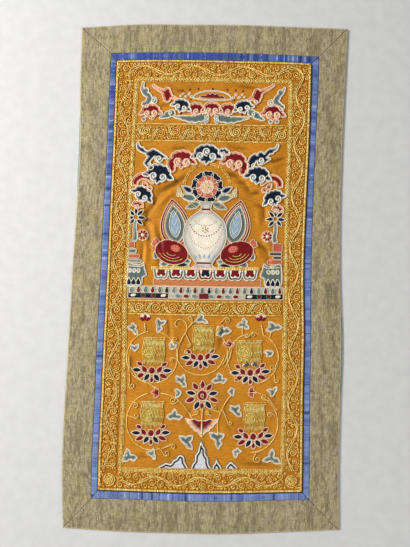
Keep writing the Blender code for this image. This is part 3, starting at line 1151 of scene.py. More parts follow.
# Radii of the coils that fill the frame, and of those that fill the level bands.
COIL_SIZES = (6.4, 5.2, 4.2, 3.3, 2.6, 2.0, 1.55, 1.2)
BAND_COIL_SIZES = (4.2, 3.2, 2.4, 1.7, 1.25)
# The radius of the vine's round corners and of the coil in each lower corner, and how far the
# coils keep from the frame's edges.
VINE_CORNER = 12
CORNER_COIL = 10.2
FRAME_CLEAR = 2.4


def gold(work, path, closed=False, scale=1.0, lift=0.0, colour="gold", step=1.2):
    """A gold thread couched along a path."""
    radius = threads_set().gold_radius / MM * scale
    cord(work[colour], np.asarray(path, float), radius, lift, closed, step)


class Run:
    """A straight line on the panel: places are given by travel along it and depth to its left."""

    def __init__(self, start, end):
        self.start = np.array(start, float)
        run = np.array(end, float) - self.start
        self.length = float(np.linalg.norm(run))
        self.along = run / self.length
        self.left = np.array((-self.along[1], self.along[0]))

    def places(self, travel, depth):
        travel, depth = np.broadcast_arrays(np.asarray(travel, float), np.asarray(depth, float))
        return self.start + travel[..., None] * self.along + depth[..., None] * self.left


def evenly(left, right, count):
    """The middles of equal shares of the way from left to right."""
    return [left + (number + 0.5) * (right - left) / count for number in range(count)]


def alongside(path, offset):
    """A path moved to its left by an offset, which may change along it."""
    return path + left_of(path) * np.broadcast_to(offset, len(path))[:, None]


def twisted(work, path, swing=0.95, pitch=8.4, scale=1.5):
    """Two gold threads twisted round each other along a path."""
    path = resampled(path, 1.1)
    wave = swing * np.sin(TAU * 1.1 / pitch * np.arange(len(path)))
    for sign in (1, -1):
        gold(work, alongside(path, sign * wave), scale=scale, lift=0.15 * (sign > 0),
             colour="bright_gold", step=1.25)


def chain_line(work, path):
    """A chain of open links between two thin rails."""
    twisted(work, path, 1.5, 9.0, 1.55)
    for side in (-RAIL_OUT, RAIL_OUT):
        gold(work, alongside(resampled(path, 2.0), side), step=2.0)


def coil(work, hub, radius, start, handed, scale=1.0, pitch=2.9, stem=None, colour="gold", lift=0.0):
    """A gold coil that may grow out of a stem."""
    turns = max(1.15, (radius - 0.5) / pitch)
    ring = spiral(hub, radius - 0.4, turns, start, 0.6 / radius, handed)
    if stem is not None:
        ring = np.vstack((stem, ring))
    step = float(np.clip(radius * 0.3, 0.75, 1.2))
    gold(work, ring, scale=scale, step=step, colour=colour, lift=lift)


def fill_with_coils(work, run, low, high, kept_off, seed, radii):
    """Coils of falling size, packed into the band between two depths of a run.

    They keep clear of the given paths, and the larger ones grow out of the nearest of them.
    """
    rng = np.random.default_rng(seed)
    travel, depth = np.meshgrid(np.arange(0.6, run.length, 1.0), np.arange(low + 0.6, high, 0.9))
    travel = travel.ravel() + rng.uniform(-0.35, 0.35, travel.size)
    depth = depth.ravel() + rng.uniform(-0.3, 0.3, depth.size)
    spots = run.places(travel, depth)
    room = np.minimum(depth - low, high - depth) + 0.2
    room = np.minimum(room, np.minimum(travel, run.length - travel) + 0.2)
    stems = np.vstack([resampled(path, 1.2) for path in kept_off])
    nearest = np.empty(len(spots), int)
    for first in range(0, len(spots), AT_A_TIME):
        some = slice(first, first + AT_A_TIME)
        gaps = np.linalg.norm(spots[some, None] - stems[None], axis=2)
        nearest[some] = gaps.argmin(axis=1)
        room[some] = np.minimum(room[some], gaps.min(axis=1) - STEM_CLEAR)
    for radius in radii:
        while True:
            fits = np.flatnonzero(room >= radius)
            if len(fits) == 0:
                break
            pick = fits[np.argmin(room[fits] + 0.6 * rng.random(len(fits)))]
            hub = spots[pick]
            away = stems[nearest[pick]] - hub
            reach = float(np.linalg.norm(away))
            handed = int(rng.choice((-1, 1)))
            start = math.degrees(math.atan2(away[1], away[0])) + 40 * handed
            grown = radius > STEMMED_FROM and reach < radius + STEM_REACH
            stem = stems[nearest[pick]] if grown else None
            coil(work, hub, radius, start, handed, rng.uniform(1.4, 1.85), rng.uniform(2.7, 3.4), stem)
            room = np.minimum(room, np.linalg.norm(spots - hub, axis=1) - radius - 0.05)


def vine(work, path, wavelength=78.0, swing=6.8, start=0.25):
    """A smooth waving stem of doubled gold along a path, and its own path."""
    path = resampled(path, 2.0)
    waves = 2.0 * np.arange(len(path)) / wavelength + start
    wave = alongside(path, swing * np.sin(TAU * waves))
    part = 0.95 + 0.45 * np.sin(TAU * waves * 2 + 0.6)
    for sign in (-1, 1):
        gold(work, alongside(wave, sign * part), scale=1.25, lift=0.6 + 0.25 * sign,
             colour="stem_gold", step=1.7)
    return wave


class SILKPANEL_OT_gold_frame(bpy.types.Operator):
    """Couch the gold scroll frame round the field"""

    bl_idname = "silkpanel.gold_frame"
    bl_label = "Couch gold frame"

    def execute(self, context):
        line = FIELD_HALF - RIBBON_LINE
        half = LADDER_WIDTH / 2
        top, bottom = FIELD_TOP + half, FIELD_BOTTOM - half
        left, right = FIELD_LEFT - half, FIELD_RIGHT + half
        lines = defaultdict(Threads)
        corners = line * ((-1, -1), (1, -1), (1, 1), (-1, 1), (-1, -1))
        for first, second in zip(corners, corners[1:]):
            twisted(lines, np.array((first, second)))
        up = np.linspace(bottom, top, 240)
        ladders = [np.column_stack((read_smooth(LADDER_PLACE, side, up), up)) for side in (1, 2)]
        level = [points((left, height), (right, height)) for height in (bottom, top)]
        for path in ladders + level:
            chain_line(lines, path)
        finish_work(lines, "gold_lines")
        middle = (line + (right, top)) / 2
        low = (bottom - line[1]) / 2
        round_corners = np.vstack((
            points((-middle[0], bottom)),
            arc((middle - VINE_CORNER) * (-1, 1), VINE_CORNER, 180, 90),
            arc(middle - VINE_CORNER, VINE_CORNER, 90, 0), points((middle[0], bottom))))
        stems = defaultdict(Threads)
        climbing = vine(stems, round_corners)
        floor_path = points((left + 4, low), (right - 4, low))
        creeping = [vine(stems, floor_path, 66.0, 6.4, 0.5)]
        for across, start in (((left - line[0]) / 2, 250), ((right + line[0]) / 2, 290)):
            hub = np.array((across, low))
            handed = 1 if across < 0 else -1
            coil(stems, hub, CORNER_COIL, start, handed, 1.7, 3.1, colour="bright_gold")
            creeping += [disc(hub, CORNER_COIL), np.array((hub, hub + 0.1))]
        finish_work(stems, "gold_vine")
        for name, run, reach, paths, seed in (
                ("left", Run((-middle[0], bottom), (-middle[0], top)), line[0] - middle[0],
                 [climbing, alongside(ladders[0], 2.4)], 71),
                ("right", Run((middle[0], bottom), (middle[0], top)), line[0] - middle[0],
                 [climbing, alongside(ladders[1], -2.4)], 72),
                ("top", Run((-line[0], middle[1]), (line[0], middle[1])), middle[1] - top,
                 [climbing], 81),
                ("bottom", Run((-line[0], low), (line[0], low)), bottom - low, creeping, 82)):
            work = defaultdict(Threads)
            depth = reach - FRAME_CLEAR
            fill_with_coils(work, run, -depth, depth, paths, seed, COIL_SIZES)
            finish_work(work, f"gold_{name}")
        return {"FINISHED"}


def scrolls(work, run, radius, count):
    """Open spirals in a row, each thrown over from the last by a slanting double stem."""
    paths = []
    step = run.length / count
    for number in range(count):
        handed = 1 if number % 2 == 0 else -1
        size = min(radius, step * 0.31)
        travel, depth = step * (number + 0.62), (radius - size) * 0.6 * handed
        ring = run.places(*(spiral((travel, depth), size, 2.1, -90 * handed, 0.14, handed).T))
        gold(work, ring, scale=1.45, colour="gold" if number % 3 else "bright_gold", step=1.1)
        foot = depth - size * handed
        stem = smooth_path(points(
            (travel, foot), (travel - 0.25 * step, foot + 0.3 * radius * handed),
            (travel - 0.42 * step, foot + 1.3 * radius * handed),
            (travel - 0.56 * step, foot + 1.75 * radius * handed)), 6)
        for offset in (0.0, 2.4):
            fade = np.clip((travel - stem[:, 0]) / 4, 0.4, 1)
            line = run.places(stem[:, 0] - offset * fade, stem[:, 1])
            gold(work, line, scale=1.35, lift=0.5 + 0.1 * offset, colour="bright_gold", step=1.2)
        paths += [run.places(stem[:, 0] - 1.2, stem[:, 1]), ring]
    return paths


class SILKPANEL_OT_gold_bands(bpy.types.Operator):
    """Couch the level gold bands between the pictures"""

    bl_idname = "silkpanel.gold_bands"
    bl_label = "Couch gold bands"

    def execute(self, context):
        for number, (low, high) in enumerate(LEVEL_BANDS):
            work = defaultdict(Threads)
            middle = (low + high) / 2
            depth = (high - low) / 2
            run = Run((FIELD_LEFT + 1, middle), (FIELD_RIGHT - 1, middle))
            for sign in (1, -1):
                edge = run.places((0.0, run.length), sign * (depth - 1.4))
                twisted(work, edge, 0.7, 5.6, 1.1)
            paths = scrolls(work, run, depth - 3.8, 10 if number == 0 else 9)
            fill_with_coils(work, run, 3.2 - depth, depth - 3.2, paths, 90 + number, BAND_COIL_SIZES)
            finish_work(work, f"gold_band_{number + 1}")
        return {"FINISHED"}


# ---- clouds

# How high each colour of cloud is worked, as clouds overlap.
CLOUD_LIFT = {"teal_cloud": 0.0, "burgundy_cloud": 0.3, "navy_cloud": 0.6}


def cloud_head(lobes):
    """The scalloped head of a lucky cloud, one wide, as overlapping shapes."""
    shapes = [ellipse(0.33, 0.17, (0, -0.01))]
    for number in range(lobes):
        angle = math.radians(158 - 136 * number / (lobes - 1))
        hub = (0.29 * math.cos(angle), 0.03 + 0.17 * math.sin(angle))
        shapes.append(disc(hub, 0.66 / (lobes + 0.2)))
    for turn, across in ((202, -0.26), (-22, 0.26)):
        shapes.append(placed(petal(0.30, 0.20), (across, -0.02), turn))
    shapes += [disc((-0.13, -0.13), 0.135), disc((0.13, -0.13), 0.135)]
    shapes.append(placed(petal(0.20, 0.15), (0, -0.16), -90))
    return shapes


def cloud_curl(work, hub, radius, turn, handed, lift, fill=None):
    """A thick pale curl, over a spot of floss where a fill is given."""
    if fill:
        size = 1.12 if fill == "pink" else 0.85
        pad(work[fill], [disc(hub, radius * size)], turn, 0.3, lift + 0.6, cell=1.6)
    ring = spiral(hub, radius, 1.3, turn - 90 - 10 * handed, 0.22, handed)
    curl_colour = "pink_rim" if fill == "pink" else "cream_rim"
    cord(work[curl_colour], ring, min(1.1, 0.24 * radius), lift + 0.75, step=0.9)


def cloud(work, centre, width, colour, turn, lobes, curls, lift=0.0, extra=()):
    """A lucky cloud with thick curls in its head. Extra shapes, one wide, are fused to it."""
    lift += CLOUD_LIFT[colour]
    shapes = [placed(shape, centre, turn, width) for shape in cloud_head(lobes) + list(extra)]
    rimmed(work, shapes, colour, turn + 78, 0.6, 0.95, lift)
    spots = {
        1: ((0.0, -0.09),), 2: ((-0.15, -0.10), (0.15, -0.10)),
        3: ((-0.20, -0.06), (0.0, 0.08), (0.18, -0.08))}[curls]
    for across, up in spots:
        hub = placed((across, up), centre, turn, width)
        size = max(3.2, width * 0.145)
        fill = {"navy_cloud": "sky", "burgundy_cloud": "pink"}.get(colour)
        cloud_curl(work, hub, size, turn, 1 if across > 0 else -1, lift, fill)


def tailed_cloud(work, path, width, spot, size, lobes):
    """A running cloud: a scalloped band that narrows along a path, with a curl beside it."""
    path = smooth_path(np.array(path, float), 8)
    share = np.linspace(0, 1, len(path))
    half = width / 2 * (0.25 + 0.75 * np.sin(math.pi * (0.12 + 0.88 * share)) ** 0.8)
    half *= 0.82 + 0.34 * np.abs(np.sin(math.pi * lobes * share)) ** 0.7
    shapes = [band(path, np.maximum(half * (1 - 0.5 * share), 0.7)), disc(spot, size * 1.2)]
    rimmed(work, shapes, "teal_cloud", 80, 0.6, 0.9)
    cloud_curl(work, spot, size, 0, 1 if spot[0] > 0 else -1, 0.0)


def jewel(work):
    """A lens of cream scrolls round a red mound, with little flames above."""
    middle = np.array((-0.7, 271.0))
    upper = arc(middle - (0, 4.5), (29, 11), 176, 4)
    lower = points((-30, -4.2), (-12, -6.2), (12, -6.2), (30, -4.2)) + middle
    for path in (upper, upper + (0, 1.5), smooth_path(lower), smooth_path(lower) - (0, 1.4)):
        cord(work["cream_rim"], path, 0.62, 0.1)
    crest = points(
        (-17, -3.0), (-13, 0.4), (-9, -0.6), (-6, 3.2), (-3, 1.2), (0, 4.2), (3, 1.2),
        (6, 3.2), (9, -0.6), (13, 0.4), (17, -3.0), (10, -3.6), (-10, -3.6)) * 1.2 + middle
    rimmed(work, [crest], "burgundy", 60, 0.6, 0.45)
    for sign in (-1, 1):
        pad(work["gold"], [ellipse(3.2, 1.3, middle + (sign * 19, -3.4))], 0, 0.5, 0.1)
        for at, up, size, handed in (
                (32, -2.0, 3.0, 1), (36, 2.0, 2.6, -1), (41, -1.4, 2.6, 1), (45.5, 2.2, 2.2, -1),
                (49, -0.8, 1.8, 1)):
            spot = middle + (sign * at, up)
            ring = spiral(spot, size, 1.5, 90 + 90 * sign, 0.2, sign * handed)
            cord(work["cream_rim"], ring, 0.6, 0.1, step=0.9)
        for at, up, turn, size in (
                (0, 7.5, 90, 6.0), (22, 7.4, 92, 4.6), (35, 6.4, 96, 5.0), (46, 5.4, 100, 4.8),
                (33, -8.6, 96, 4.4)):
            root = middle + (sign * at, up)
            flame = placed(petal(1.25 * size, 4.0, 0.6), root, 90 - (turn - 90) * sign)
            pad(work["burgundy"], [flame], 90, 0.6)


def sky_clouds(work):
    """Running clouds beside the jewel, wisps in the corners, comets, and two rows of clouds."""
    for sign in (-1, 1):
        wing = points(
            (sign * 5 - 1, 240), (sign * 16 - 1, 236.5), (sign * 30 - 1, 234.5),
            (sign * 44 - 1, 236), (sign * 58 - 1, 237.5))
        tailed_cloud(work, wing, 14, (sign * 8 - 1, 238.5), 3.0, 6)
        for at in (22, 27, 34, 39, 45):
            pad(work["burgundy"], [ellipse(1.3, 1.9, (sign * at - 1, 229.6), 20 * sign)], 90, 0.5)
        pad(work["burgundy"], [ellipse(2.4, 3.4, (sign * 47 - 1, 243.5), -30)], 90, 0.55)
        drop = placed(petal(10, 6.6), (sign * 7 - 1, 236.5), -90 + 12 * sign)
        rimmed(work, [drop], "sky", 90, 0.5, 0.5, 0.9)
    small = (
        ((-81, 235), (-73, 238), (-65, 242), (-57, 244)),
        ((81, 234.5), (73, 238), (64, 243.5), (55, 246.5)))
    for path, spot in zip(small, ((-64, 243), (62.5, 243.5))):
        tailed_cloud(work, path[::-1], 12, spot, 3.3, 3)
    corners = (
        ((-107, 291), (-108.5, 281), (-104.5, 273.5), (-97.5, 268.5), (-99, 261), (-103, 253)),
        ((110, 286), (106, 277), (98.5, 270), (97.5, 263.5), (103, 258), (107, 251)))
    scallops_by_side = (
        ((-103, 278), (-99.5, 271), (-104.5, 257)), ((103.5, 278), (99.5, 269), (106.5, 255.5)))
    for path, spot, lobes in zip(corners, ((-90.5, 262.5), (90, 261)), scallops_by_side):
        shapes = [taper(points(*path), 2.5, 7.0, 2.5), disc(spot, 5.2)]
        shapes += [disc(lobe, 4.1) for lobe in lobes]
        rimmed(work, shapes, "teal_cloud", 80, 0.6, 0.9)
        cloud_curl(work, spot, 4.0, 0, 1 if spot[0] > 0 else -1, 0.0)
    comets = (
        (((-93, 286.5), (-86, 281), (-78, 277), (-70, 271)), ((-72, 271), (-63, 268), (-54, 264.5))),
        (((94, 289.5), (86, 284), (77, 279.5), (68, 272)), ((70, 274), (61, 268), (52, 264))))
    for tail, tip in comets:
        heart = np.array(tail[-1], float)
        body = [disc(heart, 7.6), disc(heart + (0, 6.5), 5.2), disc(heart - (0, 6), 5.4)]
        shapes = [taper(points(*tail), 3.4, 8.0), taper(points(*tip), 9.0, 2.4)] + body
        rimmed(work, shapes, "burgundy_cloud", 70, 0.6, 0.9)
    cloud_curl(work, (66.0, 262.0), 3.6, 0, 1, 0.4)
    for hub in ((-104.8, 233.5), (-92, 236), (90, 232.5), (99.5, 232.5)):
        rimmed(work, [ellipse(3.4, 3.0, hub, 20)], "navy_cloud", 0, 0.5, 0.6)
        pad(work["navy"], [ellipse(1.7, 1.4, hub, 20)], 0, 0.4, 0.5, cell=1.0)
    clouds = (
        ((-47.5, 254.5), 32, "navy_cloud", -16, 5, 2), ((47, 254.5), 32, "navy_cloud", 14, 5, 2),
        ((-94.5, 246), 35, "burgundy_cloud", 3, 5, 2), ((93.5, 246.5), 38, "burgundy_cloud", -3, 5, 2),
        ((-24.5, 249), 30, "burgundy_cloud", -8, 4, 1), ((23.5, 249.5), 30, "burgundy_cloud", 8, 4, 1),
        ((-0.8, 251), 32, "burgundy_cloud", 0, 5, 2))
    for centre, width, colour, turn, lobes, curls in clouds:
        cloud(work, centre, width, colour, turn, lobes, curls)


class SILKPANEL_OT_sky_register(bpy.types.Operator):
    """Work the upper field: a rayed jewel among lucky clouds"""

    bl_idname = "silkpanel.sky_register"
    bl_label = "Work sky field"

    def execute(self, context):
        work = defaultdict(Threads)
        jewel(work)
        sky_clouds(work)
        finish_work(work, "sky")
        return {"FINISHED"}


# ---- flowers and leaves

def lens(length, width, blunt=0.8):
    """A petal about its own middle, lying along X."""
    return petal(length, width, blunt) - (length / 2, 0)


def lotus_petal(work, centre, length, width, turn, colour):
    """One petal: a floss core in a paler corded edge."""
    edge = "pink" if colour == "burgundy" else "cream"
    outline = placed(lens(length + 3.8, width + 3.0), centre, turn)
    rimmed(work, [outline], edge, turn + 60, 0.3, 0.62)
    core = placed(lens(length + 1.2, width + 0.9, 0.9), centre, turn)
    pad(work[colour], [core], turn, 0.4, 0.5, cell=1.3, sunk=SHALLOW)


# The petals of a half lotus's one side: across and up of its middle, core length, core width,
# turn, colour.
HALF_LOTUS = (
    (23.0, 1.2, 11.6, 4.6, 4, "navy"),
    (17.6, -7.4, 11.0, 4.8, -24, "burgundy"),
    (18.6, 10.4, 7.0, 4.0, 34, "burgundy"),
    (11.4, 2.4, 9.6, 5.2, 56, "burgundy"),
    (7.4, -9.6, 10.6, 4.8, -54, "navy"),
)


def half_lotus(work, centre, size, slant):
    """A lotus seat seen from the side: burgundy and navy petals round a round bud."""
    for sign in (-1, 1):
        for across, up, length, width, turn, colour in HALF_LOTUS:
            spot = placed((sign * across, up), centre, slant, size)
            heading = (turn if sign > 0 else 180 - turn) + slant
            lotus_petal(work, spot, length * size, width * size, heading, colour)
    lotus_petal(work, placed((0, -13.0), centre, slant, size), 6.6, 3.4, 90, "burgundy")
    outline = placed(ellipse(5.2, 6.0, (0, 0.6)), centre, slant, size)
    rimmed(work, [outline], "pink", 90, 0.35, 0.6)
    pad(work["burgundy"], [placed(ellipse(3.9, 4.7, (0, 0.6)), centre, slant, size)], 90, 0.5, 0.55,
        sunk=SHALLOW)


# The petals of the round lotus: angle about its middle, reach, core length, core width, colour.
ROUND_LOTUS = (
    (90, 16.0, 9.6, 4.6, "burgundy"), (129, 17.0, 10.4, 4.8, "burgundy"),
    (51, 15.8, 10.0, 4.8, "burgundy"), (169, 17.4, 12.0, 4.8, "navy"),
    (11, 16.6, 11.6, 4.8, "navy"), (201, 19.0, 12.4, 5.6, "burgundy"),
    (-20, 18.6, 11.4, 4.6, "burgundy"), (242, 17.0, 11.4, 5.2, "navy"),
    (-56, 16.8, 11.8, 5.2, "navy"), (-90, 16.0, 9.0, 4.2, "burgundy"))


def round_lotus(work, centre):
    """A round lotus: burgundy and navy petals about a coiled heart."""
    centre = np.array(centre, float)
    for angle, reach, length, width, colour in ROUND_LOTUS:
        spot = centre + reach * toward(angle)
        lotus_petal(work, spot, length, width, angle, colour)
    rimmed(work, [ellipse(7.8, 8.4, centre)], "pink", 30, 0.4, 0.65)
    pad(work["burgundy"], [ellipse(6.4, 7.0, centre)], 90, 0.5, 0.6, sunk=SHALLOW)
    cord(work["pink_rim"], spiral(centre + (0.4, 0.2), 3.9, 1.2, -60, 0.15, -1), 0.6, 1.1, step=0.8)


def leaf_sprig(work, centre, turn, size, blades):
    """A little sprig: short uneven blades of grey-green leaf in a ragged cream edge."""
    rng = np.random.default_rng(abs(round(centre[0] * 7 + centre[1] * 3)))
    spreads = {1: (0,), 2: (-46, 38), 3: (-112, 6, 88)}[blades]
    shapes = [disc(centre, 3.4 * size)]
    for spread in spreads:
        length = rng.uniform(9.5, 13.0) * size
        wide = rng.uniform(6.4, 8.4) * size
        blade = petal(length, wide, rng.uniform(0.6, 0.95))
        blade = blade + rng.uniform(-3.4, 3.4) * (blade[:, :1] / length) ** 2 * (0, 1)
        heading = turn + spread + rng.uniform(-14, 14)
        shapes.append(placed(blade, centre, heading))
        shapes.append(placed(disc((0.5 * length, rng.choice((-1, 1)) * 0.34 * wide), 2.1 * size),
                             centre, heading))
    rimmed(work, shapes, "leaf", turn + 90, 0.5, 0.62, rim="leaf_rim")
    vein = points((0.5, 0), (4 * size, -0.5), (8 * size, -1.6 * size))
    cord(work["grey_rim"], placed(smooth_path(vein, 4), centre, turn + spreads[-1]), 0.4, 0.5)


def bud(work, centre):
    """A small bud: burgundy cup leaves under a cream scalloped top."""
    top = [disc((at, rise), 3.0) + centre for at, rise in ((-4.2, 5.6), (0, 8.2), (4.2, 5.6))]
    rimmed(work, top, "cream", 90, 0.5, 0.55)
    for spread in (-62, 0, 62):
        shape = placed(petal(10.4, 6.0), centre, 90 + spread)
        pad(work["burgundy"], [shape], 90 + spread, 0.6, 0.5 + 0.1 * (spread == 0))


def curl(work, start, hub, radius, handed):
    """A gold tendril from a place on a stem to a curl."""
    start, hub = np.array(start, float), np.array(hub, float)
    heading = math.degrees(math.atan2(*(start - hub)[::-1])) + 35 * handed
    ring = spiral(hub, radius, 1.35, heading, 0.25, handed)
    path = smooth_path(np.vstack((start, (start * 0.45 + ring[0] * 0.55), ring[0])), 5)
    gold(work, np.vstack((path[:-1], ring)), scale=1.3, lift=0.7, colour="stem_gold", step=1.0)


def gold_block(work, centre, width, height, seed):
    """A plain block of close-laid gold: upright rows round a coil, under a bar of level rows."""
    rng = np.random.default_rng(seed)
    heights = np.linspace(-0.46, 0.46, 9) * height
    ragged = -0.44 * width + rng.uniform(-0.07, 0.07, 9) * width
    outline = np.vstack((
        smooth_path(np.column_stack((ragged, heights))), points((0.48 * width, 0.46 * height)),
        points((0.48 * width, -0.46 * height)))) + centre
    pad(work["pale_gold"], [resampled(outline[::-1], 2.0, True)], 90, 0.3, cell=3.0)
    for across in np.arange(-0.44 * width, 0.48 * width, 2.1):
        low = rng.uniform(-0.52, -0.44) * height
        up = np.linspace(low, rng.uniform(0.36, 0.42) * height, 9)
        bend = 1.1 * np.sin(up * 0.19 + across * 0.11)
        row = np.column_stack((across + bend, up)) + centre
        colour = "pale_gold" if rng.random() < 0.6 else "gold"
        gold(work, row, lift=0.3, colour=colour, scale=1.5, step=1.6)
    for up in (0.42, 0.48):
        row = points((-0.5 * width, up * height), (0, up * height + 0.5), (0.5 * width, up * height))
        gold(work, smooth_path(row + centre, 5), lift=0.6, colour="bright_gold", scale=1.3, step=1.6)
    hub = centre + (-0.16 * width, -0.08 * height)
    pad(work["pale_gold"], [disc(hub, 0.27 * width)], 0, 0.3, 0.8, cell=2.0)
    coil(work, hub, 0.28 * width, rng.uniform(0, 360), 1, 1.6, 2.8, colour="pale_gold", lift=1.05)


def double_leaf(work):
    """The curled double leaf under the round lotus, shaded from cream to burgundy."""
    middle = np.array((0.6, -229.0))
    for mirror in (False, True):
        shape = smooth_loop(points(
            (0.0, 8.0), (-6, 9.5), (-11.5, 12.2), (-17, 10.5), (-24.6, 12.4), (-21, 6.5),
            (-18.0, 4.2), (-16.5, 0.2), (-12.8, -1.4), (-11, -5.2), (-6.6, -6.4), (-3.4, -10.0),
            (0.0, -12.0)), 6)
        open_top = shape + (0, 30) * (shape[:, 1:] > 6)
        open_top[:, 0] += 25 * (shape[:, 0] > -0.5)
        shape, open_top = (placed(one, middle, 0, 1, mirror) for one in (shape, open_top))
        rimmed(work, [shape], "double_leaf", 90, 0.6, 0.7, outer=[open_top])
    pad(work["cream"], [disc(middle - (0, 13.2), 2.2)], 90, 0.5, 0.1)
    stem = smooth_path(points((1.0, -200), (0.4, -216), (0.6, -238), (0.9, -244)))
    gold(work, stem, lift=0.8, colour="stem_gold", scale=1.45)


def white_rocks(work):
    """White rocks in contour bands, standing on the lower gold line."""
    base = FIELD_BOTTOM + 0.4
    rocks = (
        ((-13.5, -8), (-12.8, 6), (-9.0, 12), (-8.4, 20), (-4.6, 26), (-3.4, 33), (0.6, 42),
         (4.0, 34), (7.0, 30), (7.6, 22), (11.6, 16), (12.4, 8), (17.4, -1), (18, -8)),
        ((-62, -8), (-62, 2), (-56, 5.6), (-51, 8.6), (-44, 7.4), (-41, 12), (-36, 15),
         (-33, 19.6), (-28.6, 20.4), (-24, 17.4), (-22.4, 10), (-18, 2), (-17, -8)),
        ((17, -8), (17.6, 4), (20.4, 9), (23.2, 16), (26.4, 10), (30.6, 4), (34, -8)),
        ((36, -8), (37, 3), (40, 8), (44.6, 11.6), (49, 8.4), (53.6, 4), (58, -3), (60, -8)))
    for rock in rocks:
        outline = smooth_loop(points(*rock), 5) + (0, base)
        shown = outline.copy()
        shown[:, 1] = np.maximum(shown[:, 1], base)
        pad(work["rock"], [shown], 90, 0.7, edge=1.2, cell=1.2, outer=[outline])
        above = outline[:, 1] > base + 0.3
        first = int(np.argmax(~above & np.roll(above, -1)))
        order = np.roll(np.arange(len(outline)), -first - 1)
        cord(work["grey_rim"], outline[order][above[order]], 0.55, 0.2)


def lotus_stems(work):
    """Round stems about each lotus, and the stems that join them."""
    rings = (
        ((-76.5, -127), 38, 39, 100, 265), ((-76.5, -127), 38, 39, -85, 78),
        ((74, -127), 38, 38, 100, 255), ((74, -127), 38, 38, -78, 70), ((-4.4, -118), 36, 34, 186, 354),
        ((-73, -222), 38, 42, 100, 290), ((76, -224), 37, 42, -95, 72))
    for centre, wide, high, start, end in rings:
        gold(work, arc(centre, (wide, high), start, end), colour="stem_gold", scale=1.35)
    stems = (
        ((-12, -218.5), (-22, -204), (-36, -189), (-50, -182), (-62, -180)),
        ((-64, -176), (-80, -166), (-96, -158), (-108, -142)),
        ((-38, -132), (-39, -116), (-33, -98), (-26, -84), (-30, -72), (-40, -70), (-44, -78),
         (-38, -82)), ((-26, -84), (-19, -76), (-14, -72)), ((-88, -90), (-89, -82), (-89.5, -76)),
        ((-104, -96), (-101, -90), (-104, -84)),
        ((25, -242), (24, -222), (28, -206), (36, -190), (44, -180)),
        ((42, -112), (39, -126), (33, -140)), ((35, -112), (35, -124), (29, -136)),
        ((28, -96), (33, -104), (38, -106)), ((89, -92), (87, -84), (85, -76)),
        ((98, -96), (100, -88), (103, -84)), ((58, -92), (57, -84), (58, -78)),
        ((66, -178), (84, -178), (98, -186), (112, -204)))
    for stem in stems:
        gold(work, smooth_path(points(*stem)), lift=0.4, colour="stem_gold", scale=1.35)
    tendrils = (
        ((-111, -126), (-105, -170), 5.2, 1), ((-107, -192), (-99, -199), 4.6, -1),
        ((-110, -214), (-97, -214), 4.4, 1), ((-34, -190), (-43, -190), 5.6, -1),
        ((-60, -262), (-50, -268), 4.6, 1), ((-58, -262), (-41, -258), 4.4, -1),
        ((-36, -106), (-43, -99), 4.2, -1), ((-38, -128), (-47, -130), 3.6, 1),
        ((-28, -90), (-22, -108), 3.4, -1), ((-24, -112), (-26, -118), 3.0, 1),
        ((-18, -76), (-22, -68), 3.6, 1), ((-14, -212), (-8, -207), 3.2, 1),
        ((16, -212), (9, -207), 3.2, -1), ((28, -206), (19, -200), 4.4, -1),
        ((30, -200), (42, -222), 3.6, 1), ((110, -214), (101, -211), 4.6, 1),
        ((100, -190), (92, -184), 4.4, -1), ((82, -266), (83, -276), 6.2, 1),
        ((84, -91), (74, -91), 4.2, 1), ((72, -88), (64, -92), 3.4, -1),
        ((111, -130), (103, -140), 4.6, -1), ((106, -150), (110, -160), 3.8, 1),
        ((30, -76), (22, -84), 4.2, 1), ((24, -74), (34, -70), 5.0, -1))
    for start, hub, radius, handed in tendrils:
        curl(work, start, hub, radius, handed)


def small_things(work):
    """Buds, little red flowers and grey-green sprigs between the stems."""
    for centre in ((-89.5, -72), (85, -70)):
        bud(work, centre)
    sprigs = (
        ((-106, -86), 70, 0.95, 3), ((-68, -79), 30, 1.05, 3), ((-3.6, -70), 90, 0.95, 3),
        ((-103, -116), 100, 0.8, 2), ((-48, -112), 60, 0.8, 2), ((29, -87), 120, 1.15, 3),
        ((59, -77), 80, 1.0, 3), ((105, -81), 110, 1.05, 3), ((101, -118), 200, 0.95, 2),
        ((-31, -163), 60, 1.05, 3), ((-34, -178), 200, 0.85, 2), ((26, -159), 110, 1.05, 3),
        ((41, -176), 10, 0.85, 2), ((106, -176), 150, 0.85, 3), ((-40, -214), 100, 1.15, 3),
        ((50, -205), 55, 1.15, 3), ((-22, -251), 60, 1.25, 3), ((24, -246), 50, 1.3, 3),
        ((-104, -276), 100, 1.15, 3), ((-72, -271), 60, 0.8, 3), ((50, -265), 330, 0.85, 2),
        ((105, -276), 80, 1.15, 3))
    for centre, turn, size, blades in sprigs:
        leaf_sprig(work, centre, turn, size, blades)
    for centre, turn in (((-65, -179), 180), ((70, -177), 0), ((38, -109), 90)):
        flower = [placed(petal(11, 6.4), centre, turn + spread) for spread in (-52, 0, 52)]
        rimmed(work, flower, "coral", turn, 0.5, 0.6)
        heart = centre + 2.8 * toward(turn)
        pad(work["burgundy"], [disc(heart, 3.4)], 0, 0.5, 0.65, sunk=SHALLOW)
    for sign in (-1, 1):
        for at, rise, handed in ((9, 0.0, 1), (4, 1.8, -1)):
            hub = (70.5 + sign * at, -137 + rise)
            pad(work["cream"], [disc(hub, 3.0)], 90, 0.4, 0.9, sunk=0.9)
            cord(work["navy_rim"], spiral(hub, 2.6, 1.3, 90, 0.2, sign * handed), 0.6, 1.35, step=0.8)


